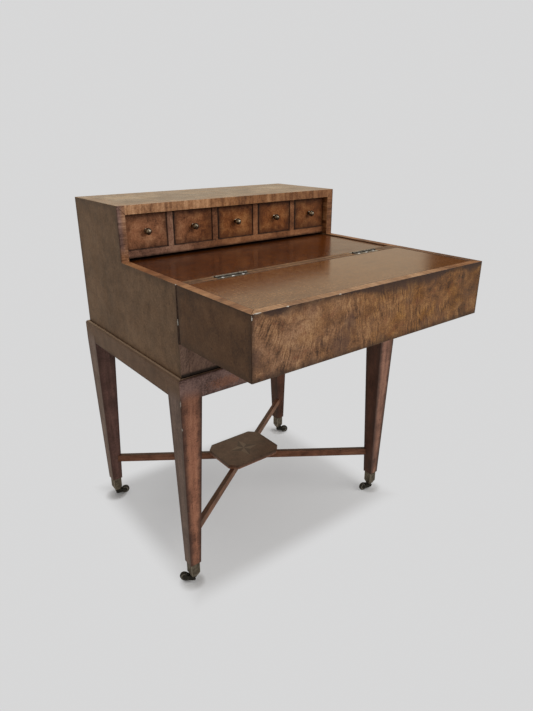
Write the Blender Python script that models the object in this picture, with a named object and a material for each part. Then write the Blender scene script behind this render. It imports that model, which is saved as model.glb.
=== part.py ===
"""Folding writing desk: a drawer gallery on a case, a fold-over leaf and a castored stand.

Metres, +Z up. X runs across the desk, -Y is the sitter's side, and the origin lies on the floor under the
middle of the open desk. The desk is modelled open, with the leaf level with the deck.
"""

import math

import bmesh
import bpy
from mathutils import Matrix, Vector

# Main sizes
DECK_HEIGHT = 0.762
CASE_WIDTH = 0.660
CASE_HEIGHT = 0.206
DECK_DEPTH = 0.249
GALLERY_DEPTH = 0.248
GALLERY_HEIGHT = 0.125

# Boards
SIDE_THICKNESS = 0.020
TOP_THICKNESS = 0.021
STRIP_THICKNESS = 0.013
BACK_THICKNESS = 0.012
BACK_INSET = 0.002
BOTTOM_THICKNESS = 0.012
DECK_THICKNESS = 0.015
DECK_RECESS = 0.003
LEAF_BOARD_THICKNESS = 0.012
LEAF_FIELD_RECESS = 0.0006

# Gallery and drawers
DRAWER_COUNT = 5
GALLERY_RECESS = 0.016
SHELF_LIFT = 0.0025
SHELF_THICKNESS = 0.0185
DIVIDER_THICKNESS = 0.016
DRAWER_SETBACK = 0.001
DRAWER_FRONT_THICKNESS = 0.012
TRAY_WALL = 0.007
TRAY_FLOOR = 0.005
TRAY_TOP_GAP = 0.012
TRAY_BACK_GAP = 0.012

# Knobs
KNOB_BALL = 0.0165
KNOB_LENGTH = 0.0195
KNOB_FLANGE = 0.0110
KNOB_FLANGE_THICKNESS = 0.0012
KNOB_NECK = 0.0068
KNOB_STUD = 0.0040

# Stand
SIDE_OVERHANG = 0.010
FRONT_OVERHANG = 0.007
LEG_TOP = 0.0535
LEG_FOOT = 0.0288
LEG_SIDE_INSET = 0.0075
LEG_FRONT_INSET = 0.0135
APRON_HEIGHT = 0.046
APRON_THICKNESS = 0.022
LIP_HEIGHT = 0.006
LIP_GAP = 0.0015
LIP_SEAT = 0.0015
LIP_ROUND = 0.9
STRETCHER_UNDERSIDE = 0.1218
STRETCHER_HEIGHT = 0.0207
STRETCHER_WIDTH = 0.0125
PLATFORM_WIDTH = 0.179
PLATFORM_DEPTH = 0.143
PLATFORM_THICKNESS = 0.0125
PLATFORM_CLIP = 0.021

# Castors
WHEEL_DIAMETER = 0.025
WHEEL_WIDTH = 0.008
WHEEL_SHOULDER = 0.88
WHEEL_TREAD = 0.55
AXLE_DIAMETER = 0.004
CHEEK_THICKNESS = 0.002
CHEEK_HEIGHT = 0.011
PLATE_DIAMETER = 0.0135
PLATE_THICKNESS = 0.0025
PLATE_RISE = 0.0037
PIVOT_DIAMETER = 0.006
PIVOT_LENGTH = 0.009
SOCKET_WIDTH = 0.0235
SOCKET_WALL = 0.003
SOCKET_BOX_HEIGHT = 0.031
SOCKET_TAPER_HEIGHT = 0.0115
SOCKET_NOSE = 0.0135
SOCKET_CAVITY_DEPTH = 0.021

# Hinges
HINGE_LENGTH = 0.080
HINGE_INSET = 0.070
HINGE_PLATE_THICKNESS = 0.0015
HINGE_KNUCKLE = 0.006
HINGE_PIN = 0.003
HINGE_RISE = 0.0004
KNUCKLE_COUNT = 5

# Clearances
GLUE_GAP = 0.0003
MITRE_GAP = 0.0005
SEAM_GAP = 0.0014
FOLD_GAP = 0.004
DRAWER_SIDE_GAP = 0.001
DRAWER_TOP_GAP = 0.0012
TRAY_SIDE_GAP = 0.0006
RUNNING_GAP = 0.0003
WHEEL_SIDE_GAP = 0.0006
WHEEL_PLATE_GAP = 0.0044

# Softened edges
BOARD_EDGE = 0.0004
LEG_EDGE = 0.0006
METAL_EDGE = 0.0003
LEG_EDGE_STEPS = 2

# Facets of round pieces
KNOB_SIDES = 16
KNOB_STEPS = 7
WHEEL_SIDES = 20
PIN_SIDES = 16
KNUCKLE_SIDES = 16
LIP_STEPS = 6
CHEEK_STEPS = 6

# Which way each wheel trails from its pivot, in degrees from +X
TRAIL_ANGLE = {"front_left": 135.0, "front_right": 167.0, "back_left": -13.0, "back_right": -45.0}

# Heights worked out from the sizes above
CASE_BOTTOM = DECK_HEIGHT - CASE_HEIGHT
CASE_SEAT = CASE_BOTTOM + GLUE_GAP
GALLERY_TOP = DECK_HEIGHT + GALLERY_HEIGHT
TOP_UNDERSIDE = GALLERY_TOP - TOP_THICKNESS
SHELF_UNDERSIDE = DECK_HEIGHT + SHELF_LIFT
SHELF_TOP = SHELF_UNDERSIDE + SHELF_THICKNESS
HINGE_Z = DECK_HEIGHT + HINGE_RISE
LEAF_HEIGHT = GALLERY_HEIGHT - 2 * HINGE_RISE
LEAF_BOTTOM = DECK_HEIGHT - LEAF_HEIGHT
AXLE_HEIGHT = WHEEL_DIAMETER / 2
PLATE_UNDERSIDE = AXLE_HEIGHT + PLATE_RISE
SOCKET_BOTTOM = PLATE_UNDERSIDE + PLATE_THICKNESS + RUNNING_GAP
SOCKET_SHOULDER = SOCKET_BOTTOM + SOCKET_TAPER_HEIGHT
SOCKET_TOP = SOCKET_SHOULDER + SOCKET_BOX_HEIGHT
LEG_END = SOCKET_TOP + GLUE_GAP
APRON_BOTTOM = CASE_BOTTOM - APRON_HEIGHT
STRETCHER_TOP = STRETCHER_UNDERSIDE + STRETCHER_HEIGHT

# Places across and along the desk
LEAF_DEPTH = DECK_DEPTH - FOLD_GAP
CASE_DEPTH = DECK_DEPTH + GALLERY_DEPTH
SEAM_Y = (LEAF_DEPTH - CASE_DEPTH - FRONT_OVERHANG) / 2
CASE_FRONT = SEAM_Y + SEAM_GAP / 2
CASE_BACK = CASE_FRONT + CASE_DEPTH
GALLERY_FRONT = CASE_FRONT + DECK_DEPTH
DRAWER_FRAME_FRONT = GALLERY_FRONT + GALLERY_RECESS
BACK_PANEL_FRONT = CASE_BACK - BACK_INSET - BACK_THICKNESS
LEAF_REAR = SEAM_Y - SEAM_GAP / 2
LEAF_FRONT = LEAF_REAR - LEAF_DEPTH
HALF_CASE = CASE_WIDTH / 2
HALF_INSIDE = HALF_CASE - SIDE_THICKNESS
HALF_STAND = HALF_CASE + SIDE_OVERHANG
STAND_FRONT = CASE_FRONT - FRONT_OVERHANG
STAND_BACK = CASE_BACK + FRONT_OVERHANG
STAND_MIDDLE = (STAND_FRONT + STAND_BACK) / 2
HALF_STAND_DEPTH = (STAND_BACK - STAND_FRONT) / 2
HINGE_X = HALF_INSIDE - HINGE_INSET - HINGE_LENGTH / 2
BAY_WIDTH = (2 * HALF_INSIDE - (DRAWER_COUNT - 1) * DIVIDER_THICKNESS) / DRAWER_COUNT
BAY_PITCH = BAY_WIDTH + DIVIDER_THICKNESS
WHEEL_TRAIL = WHEEL_DIAMETER / 2 + PLATE_DIAMETER / 2 + WHEEL_PLATE_GAP

# Colour, roughness and metallic value of each finish
FINISHES = {
    "veneer": ((0.115, 0.066, 0.036), 0.42, 0.0),
    "burl": ((0.170, 0.088, 0.040), 0.40, 0.0),
    "field": ((0.130, 0.062, 0.026), 0.32, 0.0),
    "mahogany": ((0.125, 0.052, 0.032), 0.42, 0.0),
    "drawer_wood": ((0.300, 0.190, 0.100), 0.65, 0.0),
    "aged_brass": ((0.200, 0.165, 0.110), 0.45, 1.0),
    "dark_bronze": ((0.060, 0.055, 0.045), 0.45, 1.0),
    "nickel": ((0.550, 0.540, 0.500), 0.35, 1.0),
}

SMOOTH_ANGLE = math.radians(35)
SHARP_ANGLE = math.radians(30)
ROUND_PROFILE = 0.5
SAME_POINT = 0.00003
KNOB_TIP_ANGLE = math.radians(8)
LEFT_RIGHT = {"left": -1, "right": 1}
CORNERS = {
    "front_left": (-1, -1),
    "front_right": (1, -1),
    "back_left": (-1, 1),
    "back_right": (1, 1),
}


def clear_scene():
    for obj in list(bpy.data.objects):
        bpy.data.objects.remove(obj)


def finish(part, kind):
    """A material of the part's own, in one of the finishes."""
    colour, roughness, metallic = FINISHES[kind]
    material = bpy.data.materials.new(part + "_" + kind)
    material.use_nodes = True
    shader = material.node_tree.nodes["Principled BSDF"]
    shader.inputs["Base Color"].default_value = (*colour, 1.0)
    shader.inputs["Roughness"].default_value = roughness
    shader.inputs["Metallic"].default_value = metallic
    return material


def empty(name, location, parent=None, turn=0.0):
    """A guide that sits on a joint's axis and carries what moves on it."""
    guide = bpy.data.objects.new(name, None)
    guide.location = location
    guide.rotation_euler = (0.0, 0.0, turn)
    guide.parent = parent
    bpy.context.collection.objects.link(guide)
    bpy.context.view_layer.update()
    return guide


def loft(sections):
    """A closed solid through loops of the same number of points, with both ends capped."""
    bm = bmesh.new()
    loops = [[bm.verts.new(point) for point in section] for section in sections]
    count = len(loops[0])
    for lower, upper in zip(loops, loops[1:]):
        for i in range(count):
            j = (i + 1) % count
            bm.faces.new((lower[i], lower[j], upper[j], upper[i]))
    bm.faces.new(loops[0])
    bm.faces.new(loops[-1])
    bmesh.ops.recalc_face_normals(bm, faces=bm.faces)
    return bm


def prism(outline, axis, low, high):
    """An outline in the two other axes, in X, Y, Z order, run along one axis."""
    def lifted(level):
        points = []
        for pair in outline:
            point = list(pair)
            point.insert(axis, level)
            points.append(Vector(point))
        return points
    return loft([lifted(low), lifted(high)])


def rectangle(low, high):
    return [(low[0], low[1]), (high[0], low[1]), (high[0], high[1]), (low[0], high[1])]


def box(low, high):
    return prism(rectangle(low[:2], high[:2]), 2, low[2], high[2])


def turned(profile, sides):
    """A solid turned about Z through (radius, height) points, with flat ends."""
    def ring(radius, height):
        angles = [2 * math.pi * i / sides for i in range(sides)]
        return [Vector((radius * math.cos(a), radius * math.sin(a), height)) for a in angles]
    return loft([ring(radius, height) for radius, height in profile])


def cylinder(radius, low, high, sides=PIN_SIDES):
    return turned([(radius, low), (radius, high)], sides)


def moved(bm, matrix):
    bmesh.ops.transform(bm, matrix=matrix, verts=bm.verts)
    return bm


def along_x(bm):
    """Turns a solid made along Z so that it lies along X."""
    return moved(bm, Matrix.Rotation(math.pi / 2, 4, "Y"))


def along_y(bm):
    """Turns a solid made along Z so that its upper end points to -Y."""
    return moved(bm, Matrix.Rotation(math.pi / 2, 4, "X"))


def softened(bm, width, segments=1):
    """Bevels every sharp edge that points out."""
    sharp = [e for e in bm.edges if e.is_convex and e.calc_face_angle(0.0) > SHARP_ANGLE]
    bmesh.ops.bevel(
        bm, geom=sharp, offset=width, segments=segments, profile=ROUND_PROFILE, affect="EDGES", clamp_overlap=True
    )
    return bm


def add(name, bm, kind, parent=None, in_world=True):
    """Makes one named sub-part. With a parent, a shape drawn in world places is moved to the parent's frame."""
    mesh = bpy.data.meshes.new(name)
    bm.to_mesh(mesh)
    bm.free()
    if parent and in_world:
        mesh.transform(parent.matrix_world.inverted())
    mesh.shade_smooth()
    mesh.set_sharp_from_angle(angle=SMOOTH_ANGLE)
    mesh.materials.append(finish(name, kind))
    obj = bpy.data.objects.new(name, mesh)
    obj.parent = parent
    bpy.context.collection.objects.link(obj)
    return obj


def combined(base, tools, operation):
    """The base shape after one Boolean with each tool shape."""
    for tool in tools:
        objects = []
        for role, shape in (("base", base), ("tool", tool)):
            mesh = bpy.data.meshes.new(role)
            shape.to_mesh(mesh)
            shape.free()
            obj = bpy.data.objects.new(role, mesh)
            bpy.context.collection.objects.link(obj)
            objects.append(obj)
        first, second = objects
        change = first.modifiers.new("join", "BOOLEAN")
        change.object = second
        change.operation = operation
        graph = bpy.context.evaluated_depsgraph_get()
        result = bpy.data.meshes.new_from_object(first.evaluated_get(graph))
        base = bmesh.new()
        base.from_mesh(result)
        for obj in objects:
            bpy.data.objects.remove(obj)
        bpy.data.meshes.remove(result)
    return base


def united(base, *tools):
    return combined(base, tools, "UNION")


def cut(base, *tools):
    return combined(base, tools, "DIFFERENCE")


def square(x, y, half, z):
    """A level square loop about a point."""
    return [Vector((x + sx * half, y + sy * half, z)) for sx, sy in ((-1, -1), (1, -1), (1, 1), (-1, 1))]


def foot_place(corner):
    """The middle of a leg's foot, over its castor's pivot."""
    sx, sy = CORNERS[corner]
    half = LEG_FOOT / 2
    x = sx * (HALF_STAND - LEG_SIDE_INSET - half)
    y = STAND_MIDDLE + sy * (HALF_STAND_DEPTH - LEG_FRONT_INSET - half)
    return x, y


def leg_inner_face(height, foot_inset):
    """How far a leg's inner face stands inside the stand's outer face at a height in the taper."""
    down = (APRON_BOTTOM - height) / (APRON_BOTTOM - LEG_END)
    return LEG_TOP + down * (foot_inset + LEG_FOOT - LEG_TOP)


def make_legs():
    half_tenon = SOCKET_WIDTH / 2 - SOCKET_WALL - GLUE_GAP
    tenon_end = SOCKET_TOP - SOCKET_CAVITY_DEPTH + GLUE_GAP
    leg_top = CASE_BOTTOM - LIP_SEAT - GLUE_GAP
    for corner, (sx, sy) in CORNERS.items():
        top_x = sx * (HALF_STAND - LEG_TOP / 2)
        top_y = STAND_MIDDLE + sy * (HALF_STAND_DEPTH - LEG_TOP / 2)
        x, y = foot_place(corner)
        body = loft([
            square(top_x, top_y, LEG_TOP / 2, leg_top),
            square(top_x, top_y, LEG_TOP / 2, APRON_BOTTOM),
            square(x, y, LEG_FOOT / 2, LEG_END),
            square(x, y, half_tenon, LEG_END),
            square(x, y, half_tenon, tenon_end),
        ])
        add("leg_" + corner, softened(body, LEG_EDGE, LEG_EDGE_STEPS), "mahogany")


def lip_strip(half_length, width, next_width):
    """A run of the rounded lip along X, outer side at y = 0, its ends mitred to the lips on the next sides."""
    outline = [(0.0, -LIP_SEAT), (width, -LIP_SEAT), (width, LIP_HEIGHT)]
    for step in range(LIP_STEPS + 1):
        angle = math.pi / 2 * (1 + step / LIP_STEPS)
        outline.append((width * LIP_ROUND * (1 + math.cos(angle)), LIP_HEIGHT * math.sin(angle)))
    reach = half_length - MITRE_GAP
    ends = []
    for side in (-1, 1):
        ends.append([Vector((side * (reach - y * next_width / width), y, z)) for y, z in outline])
    return loft(ends)


def make_aprons():
    front_width = FRONT_OVERHANG - LIP_GAP
    side_width = SIDE_OVERHANG - LIP_GAP
    across = (HALF_STAND, HALF_STAND_DEPTH, front_width, side_width)
    along = (HALF_STAND_DEPTH, HALF_STAND, side_width, front_width)
    runs = {
        "front": (0.0, across),
        "right": (math.pi / 2, along),
        "back": (math.pi, across),
        "left": (-math.pi / 2, along),
    }
    for name, (turn, (half_length, reach, width, next_width)) in runs.items():
        half_rail = half_length - LEG_TOP - GLUE_GAP
        rail = box((-half_rail, 0.0, -APRON_HEIGHT), (half_rail, APRON_THICKNESS, 0.0))
        apron = united(softened(rail, BOARD_EDGE), lip_strip(half_length, width, next_width))
        moved(apron, Matrix.Translation((0.0, -reach, 0.0)))
        moved(apron, Matrix.Rotation(turn, 4, "Z"))
        moved(apron, Matrix.Translation((0.0, STAND_MIDDLE, CASE_BOTTOM)))
        add("apron_" + name, apron, "mahogany")


def stretcher_outline(half_width, height):
    """A diagonal rail in plan about the stand's middle, notched at both ends round a leg's inner corner."""
    half_x = HALF_STAND - leg_inner_face(height, LEG_SIDE_INSET) - GLUE_GAP
    half_y = HALF_STAND_DEPTH - leg_inner_face(height, LEG_FRONT_INSET) - GLUE_GAP
    length = math.hypot(half_x, half_y)
    reach_x = half_width * length / half_y
    reach_y = half_width * length / half_x
    near = [(half_x + reach_x, half_y), (half_x, half_y), (half_x, half_y + reach_y)]
    return near + [(-x, -y) for x, y in near]


def make_stretchers():
    half_width = STRETCHER_WIDTH / 2
    middle = STRETCHER_UNDERSIDE + STRETCHER_HEIGHT / 2
    past = STRETCHER_HEIGHT

    def diagonal(width, low, high, mirror):
        sections = []
        for height in (low, high):
            outline = stretcher_outline(width, height)
            sections.append([Vector((mirror * x, STAND_MIDDLE + y, height)) for x, y in outline])
        return loft(sections)

    runs = {
        "stretcher_front_left_back_right": (1, middle - GLUE_GAP / 2, STRETCHER_TOP + past),
        "stretcher_front_right_back_left": (-1, STRETCHER_UNDERSIDE - past, middle + GLUE_GAP / 2),
    }
    for name, (mirror, lap_low, lap_high) in runs.items():
        rail = softened(diagonal(half_width, STRETCHER_UNDERSIDE, STRETCHER_TOP, mirror), BOARD_EDGE)
        lap = diagonal(half_width + GLUE_GAP, lap_low, lap_high, -mirror)
        add(name, cut(rail, lap), "mahogany")


def make_platform():
    half_x = PLATFORM_WIDTH / 2
    half_y = PLATFORM_DEPTH / 2
    quarter = [(half_x, half_y - PLATFORM_CLIP), (half_x - PLATFORM_CLIP, half_y)]
    outline = []
    for sx, sy in ((1, 1), (-1, 1), (-1, -1), (1, -1)):
        points = [(sx * x, STAND_MIDDLE + sy * y) for x, y in quarter]
        outline += points if sx == sy else points[::-1]
    bottom = STRETCHER_TOP + GLUE_GAP
    slab = prism(outline, 2, bottom, bottom + PLATFORM_THICKNESS)
    add("stretcher_platform", softened(slab, LEG_EDGE, LEG_EDGE_STEPS), "mahogany")


def make_socket(corner):
    """The brass box on a leg's end: open above for the leg's tenon, tapered and bored below for the pivot."""
    x, y = foot_place(corner)
    half = SOCKET_WIDTH / 2
    half_cavity = half - SOCKET_WALL
    shell = loft([
        square(x, y, SOCKET_NOSE / 2, SOCKET_BOTTOM),
        square(x, y, half, SOCKET_SHOULDER),
        square(x, y, half, SOCKET_TOP),
        square(x, y, half_cavity, SOCKET_TOP),
        square(x, y, half_cavity, SOCKET_TOP - SOCKET_CAVITY_DEPTH),
    ])
    bore_radius = PIVOT_DIAMETER / 2 + RUNNING_GAP
    bore = cylinder(bore_radius, -RUNNING_GAP, PIVOT_LENGTH + RUNNING_GAP)
    moved(bore, Matrix.Translation((x, y, SOCKET_BOTTOM)))
    add("castor_socket_" + corner, cut(softened(shell, METAL_EDGE), bore), "aged_brass")


def cheek_outline():
    """One cheek of the fork, seen from its side: a bar with round ends, under the pivot and round the axle."""
    radius = CHEEK_HEIGHT / 2
    outline = []
    for middle, first in ((0.0, math.pi / 2), (WHEEL_TRAIL, -math.pi / 2)):
        for step in range(CHEEK_STEPS + 1):
            angle = first + math.pi * step / CHEEK_STEPS
            outline.append((middle + radius * math.cos(angle), AXLE_HEIGHT + radius * math.sin(angle)))
    return outline


def make_castor(corner):
    """The fork turns on its pivot in the socket, and the wheel on the fork's axle."""
    x, y = foot_place(corner)
    turn = math.radians(TRAIL_ANGLE[corner])
    swivel = empty("castor_swivel_" + corner, (x, y, 0.0), turn=turn)
    inner = WHEEL_WIDTH / 2 + WHEEL_SIDE_GAP
    outer = inner + CHEEK_THICKNESS
    plate_top = PLATE_UNDERSIDE + PLATE_THICKNESS
    plate = cylinder(PLATE_DIAMETER / 2, PLATE_UNDERSIDE, plate_top)
    pivot = cylinder(PIVOT_DIAMETER / 2, PLATE_UNDERSIDE + PLATE_THICKNESS / 2, plate_top + PIVOT_LENGTH)
    axle = along_y(cylinder(AXLE_DIAMETER / 2, -outer - METAL_EDGE, outer + METAL_EDGE))
    moved(axle, Matrix.Translation((WHEEL_TRAIL, 0.0, AXLE_HEIGHT)))
    cheeks = [prism(cheek_outline(), 1, side * inner, side * outer) for side in (-1, 1)]
    fork = united(plate, pivot, *cheeks, axle)
    add("castor_fork_" + corner, fork, "dark_bronze", swivel, in_world=False)

    spin = empty("castor_axle_" + corner, (WHEEL_TRAIL, 0.0, AXLE_HEIGHT), swivel)
    radius = WHEEL_DIAMETER / 2
    half = WHEEL_WIDTH / 2
    shoulder = radius * WHEEL_SHOULDER
    tread = half * WHEEL_TREAD
    wheel = turned([(shoulder, -half), (radius, -tread), (radius, tread), (shoulder, half)], WHEEL_SIDES)
    hole = cylinder(AXLE_DIAMETER / 2 + RUNNING_GAP, -WHEEL_WIDTH, WHEEL_WIDTH)
    add("castor_wheel_" + corner, along_y(cut(wheel, hole)), "dark_bronze", spin, in_world=False)


def make_case_side(name, side):
    """An L-shaped side: high at the gallery, where its top edge is mitred to the gallery top, low at the deck."""
    def loop(x, top):
        profile = [
            (CASE_FRONT, CASE_SEAT), (CASE_BACK, CASE_SEAT), (CASE_BACK, top),
            (GALLERY_FRONT, top), (GALLERY_FRONT, DECK_HEIGHT), (CASE_FRONT, DECK_HEIGHT),
        ]
        return [Vector((x, y, z)) for y, z in profile]
    board = loft([loop(side * HALF_CASE, GALLERY_TOP), loop(side * HALF_INSIDE, TOP_UNDERSIDE)])
    add("case_side_" + name, softened(board, BOARD_EDGE), "veneer")


def hinge_mortises(strip_low, strip_high, knuckle_low, knuckle_high):
    """Cutters for both hinges in one strip's top edge: a shallow seat for the plate and a groove for the knuckle."""
    plate_floor = DECK_HEIGHT - HINGE_PLATE_THICKNESS - GLUE_GAP
    knuckle_floor = HINGE_Z - HINGE_KNUCKLE / 2 - RUNNING_GAP
    half = HINGE_LENGTH / 2 + RUNNING_GAP
    above = DECK_HEIGHT + HINGE_KNUCKLE
    cutters = []
    for side in LEFT_RIGHT.values():
        left = side * HINGE_X - half
        right = side * HINGE_X + half
        cutters.append(box((left, strip_low, plate_floor), (right, strip_high, above)))
        cutters.append(box((left, knuckle_low, knuckle_floor), (right, knuckle_high, above)))
    return cutters


def make_case():
    for name, side in LEFT_RIGHT.items():
        make_case_side(name, side)
    half = HALF_INSIDE - GLUE_GAP
    strip_back = CASE_FRONT + STRIP_THICKNESS
    inside_front = strip_back + GLUE_GAP
    inside_back = BACK_PANEL_FRONT - GLUE_GAP
    groove = SEAM_Y + HINGE_KNUCKLE / 2 + RUNNING_GAP
    past = GLUE_GAP

    front = softened(box((-half, CASE_FRONT, CASE_SEAT), (half, strip_back, DECK_HEIGHT)), BOARD_EDGE)
    mortises = hinge_mortises(CASE_FRONT - past, strip_back + past, CASE_FRONT - past, groove)
    add("case_front", cut(front, *mortises), "veneer")

    boards = {
        "case_back": ((BACK_PANEL_FRONT, CASE_SEAT), (CASE_BACK - BACK_INSET, TOP_UNDERSIDE - GLUE_GAP)),
        "case_bottom": ((inside_front, CASE_SEAT), (inside_back, CASE_SEAT + BOTTOM_THICKNESS)),
        "gallery_shelf": ((DRAWER_FRAME_FRONT, SHELF_UNDERSIDE), (inside_back, SHELF_TOP)),
    }
    for name, ((front_y, low), (back_y, high)) in boards.items():
        add(name, softened(box((-half, front_y, low), (half, back_y, high)), BOARD_EDGE), "veneer")

    deck_top = DECK_HEIGHT - DECK_RECESS
    deck = box((-half, inside_front, deck_top - DECK_THICKNESS), (half, inside_back, deck_top))
    add("deck_board", softened(deck, BOARD_EDGE), "field")

    top_half = HALF_CASE - MITRE_GAP
    underside_half = HALF_INSIDE - MITRE_GAP
    outline = [
        (-underside_half, TOP_UNDERSIDE), (underside_half, TOP_UNDERSIDE),
        (top_half, GALLERY_TOP), (-top_half, GALLERY_TOP),
    ]
    top = softened(prism(outline, 1, GALLERY_FRONT, CASE_BACK), BOARD_EDGE)
    add("gallery_top", top, "veneer")

    for number in range(1, DRAWER_COUNT):
        middle = -HALF_INSIDE + number * BAY_PITCH - DIVIDER_THICKNESS / 2
        low = (middle - DIVIDER_THICKNESS / 2, DRAWER_FRAME_FRONT, SHELF_TOP + GLUE_GAP)
        high = (middle + DIVIDER_THICKNESS / 2, inside_back, TOP_UNDERSIDE - GLUE_GAP)
        add(f"gallery_divider_{number}", softened(box(low, high), BOARD_EDGE), "veneer")


def make_knob(length_inside):
    """A ball on a short neck and a flange, with a stud that runs back through the drawer front."""
    ball = KNOB_BALL / 2
    middle = KNOB_LENGTH - ball
    neck = KNOB_NECK / 2
    neck_angle = math.asin(neck / ball)
    profile = [
        (KNOB_STUD / 2, -length_inside), (KNOB_STUD / 2, 0.0),
        (KNOB_FLANGE / 2, 0.0), (KNOB_FLANGE / 2, KNOB_FLANGE_THICKNESS / 2),
        (neck, KNOB_FLANGE_THICKNESS),
    ]
    first = math.pi - neck_angle
    for step in range(KNOB_STEPS + 1):
        angle = first + (KNOB_TIP_ANGLE - first) * step / KNOB_STEPS
        profile.append((ball * math.sin(angle), middle + ball * math.cos(angle)))
    return along_y(turned(profile, KNOB_SIDES))


def make_drawer(number):
    """A front, a tray behind it and a knob, all carried by one guide on the drawer's run."""
    middle = -HALF_INSIDE + BAY_WIDTH / 2 + (number - 1) * BAY_PITCH
    half = BAY_WIDTH / 2 - DRAWER_SIDE_GAP
    low = SHELF_TOP + RUNNING_GAP
    high = TOP_UNDERSIDE - DRAWER_TOP_GAP
    face = DRAWER_FRAME_FRONT + DRAWER_SETBACK
    behind = face + DRAWER_FRONT_THICKNESS
    knob_height = (low + high) / 2
    slide = empty(f"drawer_{number}_slide", (middle, face, knob_height))
    name = f"drawer_{number}_"

    front = softened(box((middle - half, face, low), (middle + half, behind, high)), BOARD_EDGE)
    through = DRAWER_FRONT_THICKNESS + KNOB_LENGTH
    bore = along_y(cylinder(KNOB_STUD / 2 + GLUE_GAP, -through, through))
    moved(bore, Matrix.Translation((middle, face, knob_height)))
    add(name + "front", cut(front, bore), "burl", slide)

    knob = moved(make_knob(DRAWER_FRONT_THICKNESS), Matrix.Translation((middle, face - GLUE_GAP, knob_height)))
    add(name + "knob", knob, "aged_brass", slide)

    tray_half = half - TRAY_SIDE_GAP
    tray_front = behind + GLUE_GAP
    tray_back = BACK_PANEL_FRONT - TRAY_BACK_GAP
    rim = high - TRAY_TOP_GAP

    def level(inset, z):
        corners = rectangle(
            (middle - tray_half + inset, tray_front + inset), (middle + tray_half - inset, tray_back - inset)
        )
        return [Vector((x, y, z)) for x, y in corners]

    tray = loft([level(0.0, low), level(0.0, rim), level(TRAY_WALL, rim), level(TRAY_WALL, low + TRAY_FLOOR)])
    add(name + "tray", softened(tray, BOARD_EDGE), "drawer_wood", slide)


def make_leaf(hinge):
    """A shallow box whose rim edges are the border of the writing field."""
    front_inside = LEAF_FRONT + SIDE_THICKNESS
    strip_front = LEAF_REAR - STRIP_THICKNESS
    half = HALF_INSIDE - GLUE_GAP
    for name, side in LEFT_RIGHT.items():
        outline = [
            (side * HALF_CASE, LEAF_FRONT), (side * HALF_CASE, LEAF_REAR),
            (side * HALF_INSIDE, LEAF_REAR), (side * HALF_INSIDE, front_inside),
        ]
        board = softened(prism(outline, 2, LEAF_BOTTOM, DECK_HEIGHT), BOARD_EDGE)
        add("leaf_side_" + name, board, "veneer", hinge)

    outer = HALF_CASE - MITRE_GAP
    inner = HALF_INSIDE - MITRE_GAP
    outline = [(-outer, LEAF_FRONT), (outer, LEAF_FRONT), (inner, front_inside), (-inner, front_inside)]
    front = softened(prism(outline, 2, LEAF_BOTTOM, DECK_HEIGHT), BOARD_EDGE)
    add("leaf_front", front, "burl", hinge)

    past = GLUE_GAP
    groove = SEAM_Y - HINGE_KNUCKLE / 2 - RUNNING_GAP
    strip = softened(box((-half, strip_front, LEAF_BOTTOM), (half, LEAF_REAR, DECK_HEIGHT)), BOARD_EDGE)
    mortises = hinge_mortises(strip_front - past, LEAF_REAR + past, groove, LEAF_REAR + past)
    add("leaf_back", cut(strip, *mortises), "veneer", hinge)

    low = (-half, front_inside + GLUE_GAP)
    high = (half, strip_front - GLUE_GAP)
    field = DECK_HEIGHT - LEAF_FIELD_RECESS
    top = box((*low, field - LEAF_BOARD_THICKNESS), (*high, field))
    add("leaf_top", softened(top, BOARD_EDGE), "field", hinge)
    bottom = box((*low, LEAF_BOTTOM), (*high, LEAF_BOTTOM + LEAF_BOARD_THICKNESS))
    add("leaf_bottom", softened(bottom, BOARD_EDGE), "veneer", hinge)


def hinge_plate(first_knuckle, away):
    """One half of a butt hinge about its own pin, along X. The plate lies towards away (+1 or -1) in Y."""
    step = HINGE_LENGTH / KNUCKLE_COUNT
    start = -HINGE_LENGTH / 2
    radius = HINGE_KNUCKLE / 2
    clear = away * (radius + RUNNING_GAP)
    edge = away * (SEAM_GAP / 2 + STRIP_THICKNESS)
    outline = [(start, edge)]
    knuckles = []
    for number in range(KNUCKLE_COUNT):
        own = number % 2 == first_knuckle
        low = start + number * step
        high = low + step
        if own:
            low += RUNNING_GAP / 2
            high -= RUNNING_GAP / 2
            knuckles.append(along_x(cylinder(radius, low, high, KNUCKLE_SIDES)))
            outline += [(low, clear), (low, 0.0), (high, 0.0), (high, clear)]
        else:
            outline += [(low, clear), (high, clear)]
    outline.append((-start, edge))
    plate = prism(outline, 2, -HINGE_RISE - HINGE_PLATE_THICKNESS, -HINGE_RISE)
    bmesh.ops.remove_doubles(plate, verts=plate.verts, dist=SAME_POINT)
    return united(plate, *knuckles)


def make_hinges(leaf_hinge):
    for name, side in LEFT_RIGHT.items():
        place = Matrix.Translation((side * HINGE_X, SEAM_Y, HINGE_Z))
        half = HINGE_LENGTH / 2
        pin = along_x(cylinder(HINGE_PIN / 2, -half + GLUE_GAP, half - GLUE_GAP))
        case_plate = moved(united(hinge_plate(0, 1), pin), place)
        add(f"hinge_{name}_case_plate", case_plate, "nickel")
        bore = along_x(cylinder(HINGE_PIN / 2 + RUNNING_GAP, -HINGE_LENGTH, HINGE_LENGTH))
        leaf_plate = moved(cut(hinge_plate(1, -1), bore), place)
        add(f"hinge_{name}_leaf_plate", leaf_plate, "nickel", leaf_hinge)


def main():
    clear_scene()
    make_legs()
    make_aprons()
    make_stretchers()
    make_platform()
    for corner in CORNERS:
        make_socket(corner)
        make_castor(corner)
    make_case()
    for number in range(1, DRAWER_COUNT + 1):
        make_drawer(number)
    leaf_hinge = empty("leaf_hinge", (0.0, SEAM_Y, HINGE_Z))
    make_leaf(leaf_hinge)
    make_hinges(leaf_hinge)


main()
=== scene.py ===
"""Looks of the folding writing desk: veneers, waxed mahogany, aged metal, floor, light and camera."""

import math

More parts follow.
